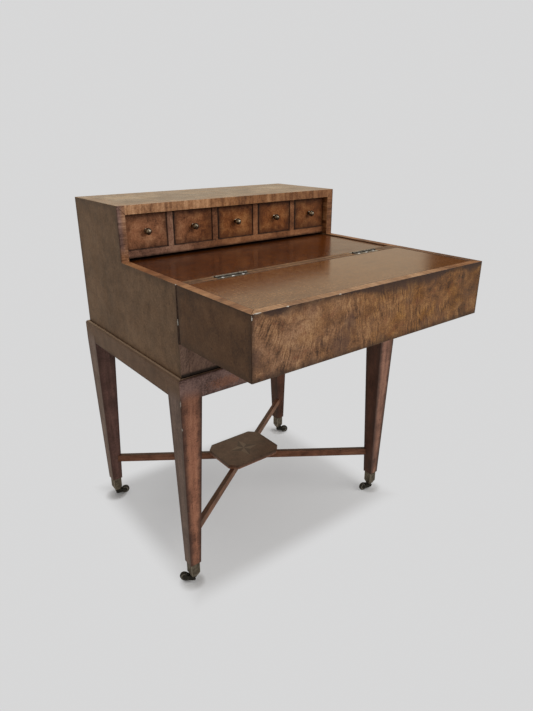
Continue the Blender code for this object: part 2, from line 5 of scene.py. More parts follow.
import bmesh
import bpy
from mathutils import Matrix, Vector


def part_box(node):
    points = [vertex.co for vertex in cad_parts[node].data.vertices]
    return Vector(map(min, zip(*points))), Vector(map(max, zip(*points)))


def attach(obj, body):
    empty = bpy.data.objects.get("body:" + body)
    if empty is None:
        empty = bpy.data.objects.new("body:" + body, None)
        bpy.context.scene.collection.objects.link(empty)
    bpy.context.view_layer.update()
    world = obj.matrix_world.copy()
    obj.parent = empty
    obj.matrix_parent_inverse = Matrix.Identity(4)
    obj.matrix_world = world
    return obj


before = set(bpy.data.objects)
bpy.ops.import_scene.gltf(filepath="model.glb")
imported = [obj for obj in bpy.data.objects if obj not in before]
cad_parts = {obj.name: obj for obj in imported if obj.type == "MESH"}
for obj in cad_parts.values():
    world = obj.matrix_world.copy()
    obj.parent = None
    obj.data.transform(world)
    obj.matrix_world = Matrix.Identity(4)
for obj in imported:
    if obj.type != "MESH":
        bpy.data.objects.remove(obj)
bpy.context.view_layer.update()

# Corners of the pieces that the finishes follow, in metres
SIDE_LOW, SIDE_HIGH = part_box("case_side_left")
LEAF_LOW, LEAF_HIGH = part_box("leaf_front")
LEAF_SIDE_LOW, LEAF_SIDE_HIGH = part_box("leaf_side_left")
TOP_LOW, TOP_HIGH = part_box("gallery_top")
DECK_LOW, DECK_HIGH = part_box("deck_board")
FIELD_LOW, FIELD_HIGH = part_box("leaf_top")
DRAWER_LOW, DRAWER_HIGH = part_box("drawer_3_front")
SHELF_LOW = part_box("gallery_shelf")[0]
PLATFORM_LOW, PLATFORM_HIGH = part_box("stretcher_platform")
APRON_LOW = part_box("apron_front")[0]
LEG_LOW, LEG_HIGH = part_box("leg_front_left")
SOCKET_LOW, SOCKET_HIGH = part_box("castor_socket_front_left")

# Places worked out from those corners
DECK_LEVEL = LEAF_HIGH.z
SEAM = (SIDE_LOW.y + LEAF_SIDE_HIGH.y) / 2
INSIDE = -SIDE_HIGH.x
STAND_MIDDLE = (PLATFORM_LOW.y + PLATFORM_HIGH.y) / 2
DRAWER_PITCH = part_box("drawer_4_front")[0].x - DRAWER_LOW.x
FOOT_X = -(SOCKET_LOW.x + SOCKET_HIGH.x) / 2
FOOT_Y = STAND_MIDDLE - (SOCKET_LOW.y + SOCKET_HIGH.y) / 2
LEG_TOP_X = -(LEG_LOW.x + LEG_HIGH.x) / 2
LEG_TOP_Y = STAND_MIDDLE - (LEG_LOW.y + LEG_HIGH.y) / 2
LEG_TOP_WIDTH = LEG_HIGH.x - LEG_LOW.x
LEG_TAPER = APRON_LOW.z - SOCKET_HIGH.z
CORNERS = [f"{end}_{side}" for end in ("front", "back") for side in ("left", "right")]

# The width of a leg at its foot, which no box gives
LEG_FOOT_WIDTH = 0.0288

# From the left half of the desk to its right half
RIGHT_HALF = (0.0, 0.1)

# The line along which one veneer of a face changes to the next
VENEER_JOINT = (-0.001, 0.001)

# Where the three colours of a wood sit in its tone
TONE_STOPS = (0.38, 0.50, 0.62)

# Woods, each as its dark, middle and light colour
SIDE_TONES = ((0.098, 0.052, 0.025), (0.174, 0.095, 0.048), (0.255, 0.148, 0.079))
LEAF_SIDE_TONES = ((0.058, 0.023, 0.009), (0.110, 0.048, 0.019), (0.170, 0.083, 0.037))
STRIP_TONES = ((0.072, 0.040, 0.029), (0.212, 0.121, 0.086), (0.350, 0.212, 0.150))
POST_TONES = ((0.070, 0.036, 0.031), (0.200, 0.112, 0.088), (0.360, 0.215, 0.170))
BURL_TONES = ((0.080, 0.038, 0.020), (0.280, 0.139, 0.070), (0.500, 0.290, 0.160))
GOLD_TONES = ((0.045, 0.016, 0.004), (0.212, 0.081, 0.016), (0.410, 0.200, 0.050))
DRAWER_TONES = ((0.050, 0.014, 0.006), (0.245, 0.079, 0.022), (0.460, 0.200, 0.070))
PALE_DRAWER_TONES = ((0.085, 0.032, 0.016), (0.370, 0.155, 0.074), (0.600, 0.310, 0.160))
RAIL_TONES = ((0.120, 0.042, 0.014), (0.350, 0.152, 0.057), (0.610, 0.330, 0.155))
PALE_RAIL_TONES = ((0.165, 0.070, 0.030), (0.430, 0.212, 0.100), (0.725, 0.420, 0.230))
CASE_RIM_TONES = ((0.085, 0.030, 0.011), (0.200, 0.078, 0.029), (0.350, 0.165, 0.070))
RIM_TONES = ((0.110, 0.045, 0.019), (0.230, 0.103, 0.044), (0.380, 0.200, 0.095))
PALE_RIM_TONES = ((0.150, 0.070, 0.032), (0.275, 0.135, 0.062), (0.430, 0.245, 0.125))
TOP_BAND_TONES = ((0.088, 0.043, 0.023), (0.195, 0.103, 0.053), (0.335, 0.195, 0.100))
TOP_TONES = ((0.080, 0.044, 0.026), (0.178, 0.104, 0.058), (0.310, 0.192, 0.103))
PALE_TOP_TONES = ((0.150, 0.088, 0.048), (0.330, 0.208, 0.112), (0.480, 0.320, 0.180))
FRAME_TONES = ((0.090, 0.034, 0.015), (0.260, 0.104, 0.044), (0.440, 0.205, 0.094))
GREY_FRAME_TONES = ((0.080, 0.037, 0.024), (0.240, 0.119, 0.076), (0.410, 0.232, 0.155))
SEAM_STRIP_TONES = ((0.064, 0.027, 0.010), (0.145, 0.066, 0.025), (0.245, 0.130, 0.056))
DECK_TONES = ((0.020, 0.004, 0.0003), (0.062, 0.0130, 0.0008), (0.140, 0.038, 0.004))
FIELD_TONES = ((0.078, 0.025, 0.007), (0.150, 0.058, 0.018), (0.214, 0.093, 0.032))
OLIVE_TONES = ((0.080, 0.041, 0.022), (0.142, 0.074, 0.041), (0.210, 0.120, 0.072))
GREY_LEG_TONES = ((0.088, 0.053, 0.044), (0.184, 0.116, 0.093), (0.285, 0.188, 0.152))
PURPLE_TONES = ((0.104, 0.056, 0.047), (0.290, 0.171, 0.146), (0.455, 0.270, 0.222))
LEG_TONES = ((0.110, 0.042, 0.026), (0.385, 0.160, 0.092), (0.540, 0.252, 0.148))
BROWN_LEG_TONES = ((0.075, 0.034, 0.024), (0.255, 0.122, 0.082), (0.420, 0.215, 0.145))
INNER_SHADE_LEG_TONES = ((0.034, 0.011, 0.006), (0.090, 0.030, 0.016), (0.155, 0.057, 0.032))
SHADED_LEG_TONES = ((0.056, 0.026, 0.021), (0.156, 0.076, 0.062), (0.265, 0.130, 0.102))
STRETCHER_TONES = ((0.065, 0.023, 0.011), (0.190, 0.075, 0.039), (0.310, 0.140, 0.078))
PLATFORM_TONES = ((0.076, 0.036, 0.020), (0.133, 0.065, 0.037), (0.195, 0.102, 0.060))
CARCASE_TONES = ((0.060, 0.028, 0.014), (0.105, 0.052, 0.027), (0.160, 0.085, 0.046))
TRAY_TONES = ((0.190, 0.105, 0.052), (0.300, 0.180, 0.095), (0.400, 0.260, 0.145))

# Metals, each as its dark, middle and light colour
BRASS_TONES = ((0.060, 0.050, 0.038), (0.132, 0.112, 0.085), (0.230, 0.200, 0.156))
IRON_TONES = ((0.006, 0.006, 0.005), (0.016, 0.015, 0.013), (0.042, 0.039, 0.033))
KNOB_TONES = ((0.070, 0.058, 0.043), (0.205, 0.174, 0.134), (0.380, 0.332, 0.262))
NICKEL_TONES = ((0.120, 0.106, 0.086), (0.330, 0.300, 0.252), (0.560, 0.525, 0.460))
SCREW_TONES = ((0.620, 0.610, 0.590), (0.900, 0.890, 0.870), (0.960, 0.955, 0.940))

# Wear, dirt, painted shade and highlights, patches and inlay
BURNISH_AND_SHADE = (0.022, 0.011, 0.008)
PURPLE_WEAR = (0.040, 0.019, 0.016)
LIP_HIGHLIGHT = (0.300, 0.200, 0.132)
PURPLE_PATCH = (0.100, 0.050, 0.036)
RED_FLECK = (0.200, 0.058, 0.022)
GAP_SHADE = (0.008, 0.005, 0.004)
BARE_GROUND = (0.620, 0.580, 0.510)
RED_FIELD = (0.125, 0.036, 0.009)
STAR_LIGHT = (0.230, 0.150, 0.098)
STAR_DARK = (0.050, 0.027, 0.017)
BRASS_WORN = (0.480, 0.440, 0.370)
IRON_HIGHLIGHT = (0.300, 0.280, 0.240)
NICKEL_DULL = (0.090, 0.074, 0.058)
KNUCKLE_SHADE_COLOUR = (0.014, 0.012, 0.010)

# Sheens, each as the least and the greatest roughness
FIELD_SHEEN = (0.12, 0.18)
DECK_SHEEN = (0.18, 0.26)
POLISHED = (0.22, 0.34)
WAXED = (0.32, 0.46)
WORN_WAX = (0.34, 0.48)
SATIN = (0.36, 0.50)
STAINED = (0.50, 0.66)
DRY = (0.60, 0.78)

# Relief, as the depth of its bumps in metres
FIELD_RELIEF = 0.00005
METAL_RELIEF = 0.0001
WAXED_RELIEF = 0.0002
VENEER_RELIEF = 0.0003
BURL_RELIEF = 0.0004

# Noise: its mean, the range of most of it, and how far each seed shifts it along each axis
NOISE_MEAN = 0.5
NOISE_LOW = 0.25
NOISE_HIGH = 0.75
SEED_STEPS = (1.0, 1.7, 2.3)

# Shares of clouds, patches and flecks in an even mottle
EVEN_SHARES = (0.35, 0.35, 0.30)

# Ragged patches: bumps of their outline to the metre, how far these reach, and where the patch fades
BLOT_BUMPS = 420.0
BLOT_RAGGED = 2.4
BLOT_EDGE = (2.3, 1.9)


class Signal:
    """A number that varies over a surface. Sums and products of it add Math nodes to its tree."""

    def __init__(self, nodes, socket):
        self.nodes = nodes
        self.socket = socket

    def __add__(self, other):
        return self.nodes.math("ADD", self, other)

    def __sub__(self, other):
        return self.nodes.math("SUBTRACT", self, other)

    def __rsub__(self, other):
        return self.nodes.math("SUBTRACT", other, self)

    def __mul__(self, other):
        return self.nodes.math("MULTIPLY", self, other)

    def __abs__(self):
        return self.nodes.math("ABSOLUTE", self)

    def least(self, other):
        return self.nodes.math("MINIMUM", self, other)

    def most(self, other):
        return self.nodes.math("MAXIMUM", self, other)

    def fade(self, start, end):
        """0 at start and before it, 1 at end and past it, and smooth between."""
        inputs = {0: self, 1: start, 2: end}
        return Signal(self.nodes, self.nodes.add("MapRange", inputs, interpolation_type="SMOOTHSTEP"))


class Nodes:
    """A node tree with short ways to add to it, and the coordinates that its patterns follow."""

    def __init__(self, tree, place):
        self.tree = tree
        self.place = place
        self.x, self.y, self.z = self.split(place)

    def feed(self, socket, value):
        """Set an input to a number or colour, or link a signal or another node's output to it."""
        if isinstance(value, Signal):
            value = value.socket
        if isinstance(value, bpy.types.NodeSocket):
            self.tree.links.new(value, socket)
        elif socket.type == "RGBA":
            socket.default_value = (*value, 1.0)
        else:
            socket.default_value = value

    def add(self, kind, inputs, output=0, **settings):
        """One output of a new shader node with these inputs and settings."""
        node = self.tree.nodes.new("ShaderNode" + kind)
        for name, value in settings.items():
            setattr(node, name, value)
        for key, value in inputs.items():
            self.feed(node.inputs[key], value)
        return node.outputs[output]

    def split(self, vector):
        """The three coordinates of a vector."""
        node = self.tree.nodes.new("ShaderNodeSeparateXYZ")
        self.tree.links.new(vector, node.inputs[0])
        return [Signal(self, output) for output in node.outputs]

    def math(self, operation, *values):
        return Signal(self, self.add("Math", dict(enumerate(values)), operation=operation))

    def vector(self, x, y, z):
        return self.add("CombineXYZ", {0: x, 1: y, 2: z})

    def noise_at(self, vector, detail=4.0, roughness=0.55, distortion=0.0):
        """Cloudy noise in the space of a vector, about one half."""
        inputs = {"Vector": vector, "Scale": 1.0, "Detail": detail}
        inputs.update({"Roughness": roughness, "Distortion": distortion})
        return Signal(self, self.add("TexNoise", inputs))

    def noise(self, scale, seed, **settings):
        """Cloudy noise with so many features to the metre, the same or different along the three axes."""
        scales = scale if isinstance(scale, tuple) else (scale, scale, scale)
        shift = tuple(seed * step for step in SEED_STEPS)
        inputs = {0: self.place, 1: scales, 2: shift}
        return self.noise_at(self.add("VectorMath", inputs, operation="MULTIPLY_ADD"), **settings)

    def patches(self, scale, seed, low, high, **settings):
        """1 where noise is above high, 0 where it is below low, and smooth between."""
        return self.noise(scale, seed, **settings).fade(low, high)

    def mottle(self, seed, cloud, patch, fleck, shares):
        """A tone of slow clouds, patches and fine flecks, each in so many features to the metre."""
        slow = self.noise(cloud, seed, detail=3.0)
        middle = self.noise(patch, seed + 3.0, detail=5.0, roughness=0.62, distortion=0.5)
        fine = self.noise(fleck, seed + 6.0, detail=3.0)
        return slow * shares[0] + middle * shares[1] + fine * shares[2]

    def random(self, number):
        """A steady random number from 0 to 1 for each whole number."""
        return Signal(self, self.add("TexWhiteNoise", {"W": number}, noise_dimensions="1D"))

    def mix(self, share, first, second):
        """The first colour where the share is 0, and the second where it is 1."""
        return self.add("Mix", {0: share, 6: first, 7: second}, output=2, data_type="RGBA")

    def ramp(self, tone, colours):
        """The colour of a tone, from the three colours of a wood or metal."""
        node = self.tree.nodes.new("ShaderNodeValToRGB")
        elements = node.color_ramp.elements
        while len(elements) < len(TONE_STOPS):
            elements.new(TONE_STOPS[-1])
        for element, stop, colour in zip(elements, TONE_STOPS, colours):
            element.position = stop
            element.color = (*colour, 1.0)
        self.feed(node.inputs[0], tone)
        return node.outputs[0]

    def distance(self, centre, reach=(1.0, 1.0, 1.0)):
        """Distance from a point, measured in so much reach along each axis."""
        away = self.add("VectorMath", {0: self.place, 1: centre}, operation="SUBTRACT")
        scale = tuple(1.0 / size for size in reach)
        scaled = self.add("VectorMath", {0: away, 1: scale}, operation="MULTIPLY")
        return Signal(self, self.add("VectorMath", {0: scaled}, output=1, operation="LENGTH"))

    def blot(self, centre, reach):
        """1 in the middle of a small ragged patch, and 0 outside it."""
        ragged = self.noise(BLOT_BUMPS, seed=5.0, detail=2.0) * BLOT_RAGGED
        return (self.distance(centre, reach) + ragged).fade(*BLOT_EDGE)


class Shader(Nodes):
    """One material: a Principled surface whose colour, gloss and relief come from its place on the desk."""

    def __init__(self, name):
        self.material = bpy.data.materials.new(name)
        self.material.use_nodes = True
        tree = self.material.node_tree
        texture = tree.nodes.new("ShaderNodeTexCoord")
        super().__init__(tree, texture.outputs["Object"])
        self.facing_x, self.facing_y, self.facing_z = self.split(texture.outputs["Normal"])

    def surface(self, colour, roughness, height, depth, metallic=0.0, specular=0.5):
        """Finish the material. The height is its relief, as deep as depth says."""
        bump = self.add("Bump", {"Strength": 1.0, "Distance": depth, "Height": height})
        finish = self.tree.nodes["Principled BSDF"]
        for name, value in (
            ("Base Color", colour), ("Roughness", roughness), ("Normal", bump),
            ("Metallic", metallic), ("Specular IOR Level", specular),
        ):
            self.feed(finish.inputs[name], value)


def dress(material, *names):
    """Give a material to CAD nodes."""
    for name in names:
        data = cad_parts[name].data
        data.materials.clear()
        data.materials.append(material)


def inset(coordinate, low, high):
    """Distance in from the nearer of two edges, positive inside."""
    return (coordinate - low).least(high - coordinate)


def beyond(place, band):
    """The start and end of a band that is measured from a place."""
    return [place + step for step in band]


def excess(*shares):
    """How far a sum of patterns with these shares lies above one half on average."""
    return (sum(shares) - 1.0) / 2


# The lean from which a face begins to count as looking a given way, and where it does so fully
FACING_FROM = 0.6
ASIDE_FROM = 0.5
FACING_TO = 0.8


def on_top(s):
    """1 on faces that look up."""
    return s.facing_z.fade(FACING_FROM, FACING_TO)


def on_front(s):
    """1 on faces that look to the sitter."""
    return s.facing_y.fade(-FACING_FROM, -FACING_TO)


def on_back(s):
    """1 on faces that look away from the sitter."""
    return s.facing_y.fade(FACING_FROM, FACING_TO)


def outward(lean):
    """1 on faces that lean far out."""
    return lean.fade(ASIDE_FROM, FACING_TO)


def inward(lean):
    """1 on faces that lean far in."""
    return lean.fade(-ASIDE_FROM, -FACING_TO)


# Gloss: clouds to the metre
GLOSS_CLOUDS = 24.0


def gloss(s, sheen, seed):
    """A roughness that drifts between the two values of a sheen over a few centimetres."""
    low, high = sheen
    slope = (high - low) / (NOISE_HIGH - NOISE_LOW)
    return s.noise(GLOSS_CLOUDS, seed, detail=5.0) * slope + (low - NOISE_LOW * slope)


# Burnished edges, and edges with painted shade: bites of the inner line to the metre
BURNISH_AND_SHADE_BITES = 60.0


def burnish_and_shade(s, colour, edge, reach, share, stain=BURNISH_AND_SHADE):
    """Darken a colour towards an edge, with a ragged inner line: burnished wear at some edges, painted shade
    at others.
    """
    ragged = s.noise(BURNISH_AND_SHADE_BITES, seed=11.0, detail=5.0, roughness=0.65) - NOISE_MEAN
    worn = (edge + ragged * reach).fade(reach, 0.0)
    return s.mix(worn * share, colour, stain)


def chipped(s, colour, chips):
    """Bare ground where chips are missing, each given as its middle and reach."""
    for centre, reach in chips:
        colour = s.mix(s.blot(centre, reach), colour, BARE_GROUND)
    return colour


# Between these levels of noise a dark speck or pore begins
SPECK_LEVELS = (0.60, 0.72)

# Plain boards: clouds to the metre and their share, and how fine, dark and deep the pores are
BOARD_CLOUDS = 14.0
BOARD_CLOUD_SHARE = 0.5
PORE_FINENESS = 4.0
PORE_SHARE = 0.45
PORE_DEPTH = 0.5


def board(s, grain, tones, seed):
    """Plain wood: fibres along the axis whose grain number is small, soft patches, and dark pores."""
    fibre = s.noise(grain, seed, detail=6.0, roughness=0.62)
    cloud = s.noise(BOARD_CLOUDS, seed + 3.0, detail=3.0)
    tone = fibre * (1.0 - BOARD_CLOUD_SHARE) + cloud * BOARD_CLOUD_SHARE
    pores = tuple(PORE_FINENESS * number for number in grain)
    pore = s.patches(pores, seed + 8.0, *SPECK_LEVELS, detail=2.0)
    return s.mix(pore * PORE_SHARE, s.ramp(tone, tones), tones[0]), tone - pore * PORE_DEPTH


# Border veneer: its grain, the shift from piece to piece, and shares of the tone
BAND_GRAIN = 14.0
BAND_SHIFT = 3.7
BAND_STREAK = 0.50
BAND_SHARES = (0.24, 0.16, 0.20)
BAND_PIECE = 0.12


def crossband(s, along, across, tones, seed, piece=0.085, streaks=150.0):
    """Border veneer with its grain across the border, laid in short pieces along the run."""
    number = s.math("FLOOR", along * (1.0 / piece) + seed)
    place = s.vector(along * streaks, across * BAND_GRAIN, number * BAND_SHIFT)
    streak = s.noise_at(place, detail=6.0, roughness=0.62)
    mottle = s.mottle(seed, cloud=20.0, patch=60.0, fleck=300.0, shares=BAND_SHARES)
    tone = streak * BAND_STREAK + mottle + s.random(number) * BAND_PIECE
    tone = tone - excess(BAND_STREAK, *BAND_SHARES, BAND_PIECE)
    return s.ramp(tone, tones), tone


# Specks of figured veneer: how many to the metre, and how dark and deep they are
SPECKS = 290.0
SPECK_SHARE = 0.6
SPECK_DEPTH = 0.3


def speckled(s, tone, palettes, seed):
    """A tone with dark specks, as one colour for each palette, and its relief."""
    speck = s.patches(SPECKS, seed, *SPECK_LEVELS, detail=2.0)
    colours = [s.mix(speck * SPECK_SHARE, s.ramp(tone, tones), tones[0]) for tones in palettes]
    return colours, tone - speck * SPECK_DEPTH


# Burl: waves to the metre and their swing, fibres across and along, and shares of the tone
BURL_WAVES = 13.0
BURL_SWING = 0.055
BURL_FIBRES = 270.0
BURL_GRAIN = 60.0
BURL_CLOUDS = 8.0
BURL_PATCHES = 30.0
BURL_SHARES = (0.24, 0.40, 0.22)


def burl(s, across, up, palettes, seed, lean, scale=1.0, stroke=0.45):
    """Figured veneer: leaning, wavering fibres, blotches and dark specks."""
    waver = s.noise(BURL_WAVES * scale, seed, detail=3.0) - NOISE_MEAN
    skewed = across - up * lean + waver * (BURL_SWING / scale)
    place = s.vector(skewed * BURL_FIBRES, up * BURL_GRAIN, seed)
    fibre = s.noise_at(place, detail=3.0, roughness=0.6)
    clouds = BURL_CLOUDS * scale
    patches = BURL_PATCHES * scale
    blotch = s.mottle(seed + 4.0, cloud=clouds, patch=patches, fleck=300.0, shares=BURL_SHARES)
    level = -excess(stroke, *BURL_SHARES)
    return speckled(s, fibre * stroke + blotch + level, palettes, seed + 2.0)


# Feathered veneer: waves and fibres, how the strokes lean, and how strong they are
FEATHER_WAVES = 14.0
FEATHER_SWING = 0.035
FEATHER_FIBRES = 230.0
FEATHER_GRAIN = 24.0
FEATHER_UPRIGHT = -0.08
FEATHER_LEAN = 0.55
FEATHER_LEAN_BACK = 0.12
FEATHER_STROKE = 0.42
FEATHER_FAINT = 0.12
FEATHER_SHARES = (0.26, 0.44, 0.30)


def feather(s, palettes, seed):
    """Feathered veneer: strokes that lean at the left end and stand upright further right."""
    waver = s.noise(FEATHER_WAVES, seed, detail=3.0) - NOISE_MEAN
    lean = s.x.fade(FEATHER_UPRIGHT, LEAF_LOW.x) * FEATHER_LEAN - FEATHER_LEAN_BACK
    skewed = s.x - (s.z - LEAF_LOW.z) * lean + waver * FEATHER_SWING
    place = s.vector(skewed * FEATHER_FIBRES, s.z * FEATHER_GRAIN, seed)
    fibre = s.noise_at(place, detail=4.0, roughness=0.65) - NOISE_MEAN
    stroked = s.patches(12.0, seed + 1.0, low=0.42, high=0.60, detail=3.0)
    blotch = s.mottle(seed + 4.0, cloud=8.0, patch=36.0, fleck=320.0, shares=FEATHER_SHARES)
    tone = fibre * (stroked * FEATHER_STROKE + FEATHER_FAINT) + blotch
    return speckled(s, tone, palettes, seed + 2.0)


# Quiet veneer: the grain of its streaks, shares of the tone, and how dark the specks are
SIDE_GRAIN = (90.0, 90.0, 22.0)
SIDE_STREAK = 0.12
SIDE_SHARES = (0.34, 0.34, 0.34)
SIDE_SPECK_SHARE = 0.55


def smooth_side(s, tones, seed):
    """Quiet dark veneer: faint upright streaks, clouds, and a few dark specks."""
    streak = s.noise(SIDE_GRAIN, seed, detail=5.0, roughness=0.6)
    mottle = s.mottle(seed + 1.0, cloud=7.0, patch=34.0, fleck=290.0, shares=SIDE_SHARES)
    tone = streak * SIDE_STREAK + mottle - excess(SIDE_STREAK, *SIDE_SHARES)
    speck = s.patches(150.0, seed + 2.0, low=0.70, high=0.75, detail=1.0)
    return s.mix(speck * SIDE_SPECK_SHARE, s.ramp(tone, tones), BURNISH_AND_SHADE), tone


# Painted shade by the stand's lip, as heights above the foot of the case
LIP_GAP_SHADE = (0.017, 0.010)
LIP_GAP_SHADE_SHARE = 0.92


def strip_veneer(s):
    """Purple-brown, flecked veneer of the faces that meet at the seam, with painted shade by the stand's lip.
    """
    (colour,), _ = burl(s, s.x, s.z, (STRIP_TONES,), seed=30.0, lean=0.45, stroke=0.35)
    by_lip = (s.z - SIDE_LOW.z).fade(*LIP_GAP_SHADE) * LIP_GAP_SHADE_SHARE
    return s.mix(by_lip, colour, GAP_SHADE)


# Posts: the length of a veneer piece, orange bands from inner edge and deck, and how brown the right one is
POST_PIECE = 0.05
POST_INNER_BAND = (0.015, 0.004)
POST_INNER_SHARE = 0.55
POST_FOOT_BAND = (0.040, 0.008)
POST_FOOT_SHARE = 0.75
BROWN_SHARE = 0.9


def post_veneer(s):
    """Veneer across the gallery's posts: purple-brown, orange by inner edge and foot, brown to the right."""
    purple, tone = crossband(s, s.z, s.x, POST_TONES, seed=33.0, piece=POST_PIECE, streaks=240.0)
    inner = abs(s.x).fade(*beyond(INSIDE, POST_INNER_BAND)) * POST_INNER_SHARE
    foot = s.z.fade(*beyond(DECK_LEVEL, POST_FOOT_BAND)) * POST_FOOT_SHARE
    colour = s.mix(inner.most(foot), purple, s.ramp(tone, RAIL_TONES))
    colour = s.mix(s.x.fade(*RIGHT_HALF) * BROWN_SHARE, colour, s.ramp(tone, CASE_RIM_TONES))
    return burnish_and_shade(s, colour, -SIDE_LOW.x - abs(s.x), reach=0.005, share=0.7)


# Painted shade along the seam: its reach at the deck, how it widens below, its dark core and its lower end
SEAM_SHADE_REACH = 0.0032
SEAM_SHADE_WIDENS = 0.0024
SEAM_SHADE_CORE = 0.6
SEAM_SHADE_END = (-0.002, 0.0)
SEAM_SHADE_SHARE = 0.95
SEAM_SHADE_ROUGHNESS = 0.55


def seam_shadow(s):
    """Painted shade on the sides along the seam between case and leaf, wider lower down."""
    reach = s.z.fade(DECK_LEVEL, LEAF_LOW.z) * SEAM_SHADE_WIDENS + SEAM_SHADE_REACH
    near = abs(s.y - SEAM).fade(reach, reach * SEAM_SHADE_CORE)
    near = near * s.z.fade(*beyond(LEAF_LOW.z, SEAM_SHADE_END))
    return near * outward(abs(s.facing_x)) * SEAM_SHADE_SHARE


# Case sides: quiet veneer outside, crossbanded on top, flecked in front, and orange inside the gallery
SIDE_CHIPS = (
    ((SIDE_LOW.x, SIDE_LOW.y, 0.684), (0.0026, 0.0026, 0.0070)),
    ((SIDE_LOW.x, SIDE_LOW.y, DECK_LEVEL), (0.0018, 0.0020, 0.0018)),
)
s = Shader("side_veneer")
colour, height = smooth_side(s, SIDE_TONES, seed=1.0)
low_part = inset(s.y, SIDE_LOW.y, SIDE_HIGH.y).least(inset(s.z, SIDE_LOW.z, DECK_LEVEL))
high_part = inset(s.y, TOP_LOW.y, SIDE_HIGH.y).least(inset(s.z, SIDE_LOW.z, TOP_HIGH.z))
colour = burnish_and_shade(s, colour, low_part.most(high_part), reach=0.020, share=0.35)
# Painted shade along the seam with the leaf, rougher there as well
seam_shade = seam_shadow(s)
colour = s.mix(seam_shade, colour, GAP_SHADE)
rim = crossband(s, s.y, s.x, CASE_RIM_TONES, seed=2.0)[0]
colour = s.mix(on_top(s), colour, rim)
above_deck = s.z.fade(*beyond(DECK_LEVEL, VENEER_JOINT))
colour = s.mix(on_front(s), colour, s.mix(above_deck, strip_veneer(s), post_veneer(s)))
orange = crossband(s, s.z, s.y, RAIL_TONES, seed=3.0, piece=POST_PIECE)[0]
out_x = s.facing_x * s.math("SIGN", s.x)
colour = s.mix(inward(out_x) * above_deck, colour, orange)
colour = chipped(s, colour, SIDE_CHIPS)
roughness = gloss(s, SATIN, seed=1.0) + seam_shade * SEAM_SHADE_ROUGHNESS
s.surface(colour, roughness, height, VENEER_RELIEF, specular=0.3)
dress(s.material, "case_side_left", "case_side_right")

# Leaf sides: darker quiet veneer, rubbed along the upper edge, with a crossbanded rim on top
RIM_BACK = (-0.30, -0.16)
RIM_BACK_SHARE = 0.8
RIM_RIGHT_SHARE = 0.45
s = Shader("leaf_side_veneer")
colour, height = smooth_side(s, LEAF_SIDE_TONES, seed=4.0)
edge = inset(s.y, LEAF_SIDE_LOW.y, LEAF_SIDE_HIGH.y).least(inset(s.z, LEAF_LOW.z, LEAF_HIGH.z))
colour = burnish_and_shade(s, colour, edge, reach=0.018, share=0.40)
colour = burnish_and_shade(s, colour, LEAF_HIGH.z - s.z, reach=0.0040, share=0.8)
# Painted shade along the seam with the case, rougher there as well
seam_shade = seam_shadow(s)
colour = s.mix(seam_shade, colour, GAP_SHADE)
colour = s.mix(on_back(s), colour, strip_veneer(s))
rim, rim_tone = crossband(s, s.y, s.x, RIM_TONES, seed=5.0)
rim = s.mix(s.y.fade(*RIM_BACK) * RIM_BACK_SHARE, rim, s.ramp(rim_tone, CASE_RIM_TONES))
rim = s.mix(s.x.fade(*RIGHT_HALF) * RIM_RIGHT_SHARE, rim, BURNISH_AND_SHADE)
colour = s.mix(on_top(s), colour, rim)
roughness = gloss(s, SATIN, seed=2.0) + seam_shade * SEAM_SHADE_ROUGHNESS
s.surface(colour, roughness, height, VENEER_RELIEF, specular=0.3)
dress(s.material, "leaf_side_left", "leaf_side_right")

# Leaf front: feathered veneer, golden to the right, with dark rubbed edges and some chips to the ground
GOLD_RISE = (-0.34, 0.12)
GOLD_SHARE = 0.7
WARM_SHARE = 0.3
RED_SHARE = 0.4
PURPLE_SHARE = 0.55
DARK_END = (0.17, 0.32)
DARK_END_SHARE = 0.25
BROWN_RIM = (0.10, 0.27)
BROWN_RIM_SHARE = 0.85
LEAF_CHIPS = (
    ((LEAF_LOW.x, LEAF_LOW.y, 0.7545), (0.0020, 0.0020, 0.0042)),
    ((LEAF_LOW.x + 0.013, LEAF_LOW.y, LEAF_HIGH.z), (0.0085, 0.0020, 0.0016)),
    ((-0.2516, LEAF_LOW.y, LEAF_HIGH.z), (0.0030, 0.0018, 0.0014)),
    ((-0.1273, LEAF_LOW.y, LEAF_HIGH.z), (0.0032, 0.0018, 0.0014)),
)

# Rubbed stretches of the leaf's upper edge, each as its middle, half its width and its depth
RUBBED_PLACES = ((-0.275, 0.045, 0.010), (0.060, 0.175, 0.022), (0.290, 0.050, 0.014))
RUBBED_CORE = 0.3
RUBBED_LEAST = 0.0005
RUBBED_RAGGED = 0.035
RUBBED_FADE = (1.5, 0.5)
RUBBED_SHARE = 0.75
s = Shader("leaf_front_burl")
(brown, golden), height = feather(s, (BURL_TONES, GOLD_TONES), seed=6.0)
warm = s.patches(20.0, seed=9.0, low=0.40, high=0.64, detail=4.0)
colour = s.mix(s.x.fade(*GOLD_RISE) * GOLD_SHARE + warm * WARM_SHARE, brown, golden)
red = s.patches(60.0, seed=10.0, low=0.58, high=0.70, detail=3.0)
colour = s.mix(red * RED_SHARE, colour, RED_FLECK)
purple = s.patches(15.0, seed=8.0, low=0.50, high=0.66, detail=5.0, roughness=0.62, distortion=0.6)
colour = s.mix(purple * PURPLE_SHARE, colour, PURPLE_PATCH)
colour = burnish_and_shade(s, colour, inset(s.z, LEAF_LOW.z, LEAF_HIGH.z), reach=0.016, share=0.70)
colour = burnish_and_shade(s, colour, inset(s.x, LEAF_LOW.x, LEAF_HIGH.x), reach=0.009, share=0.55)
colour = s.mix(s.x.fade(*DARK_END) * DARK_END_SHARE, colour, BURNISH_AND_SHADE)
ragged = s.noise(45.0, seed=12.0, detail=5.0, roughness=0.65) - NOISE_MEAN
below_top = LEAF_HIGH.z - s.z + ragged * RUBBED_RAGGED
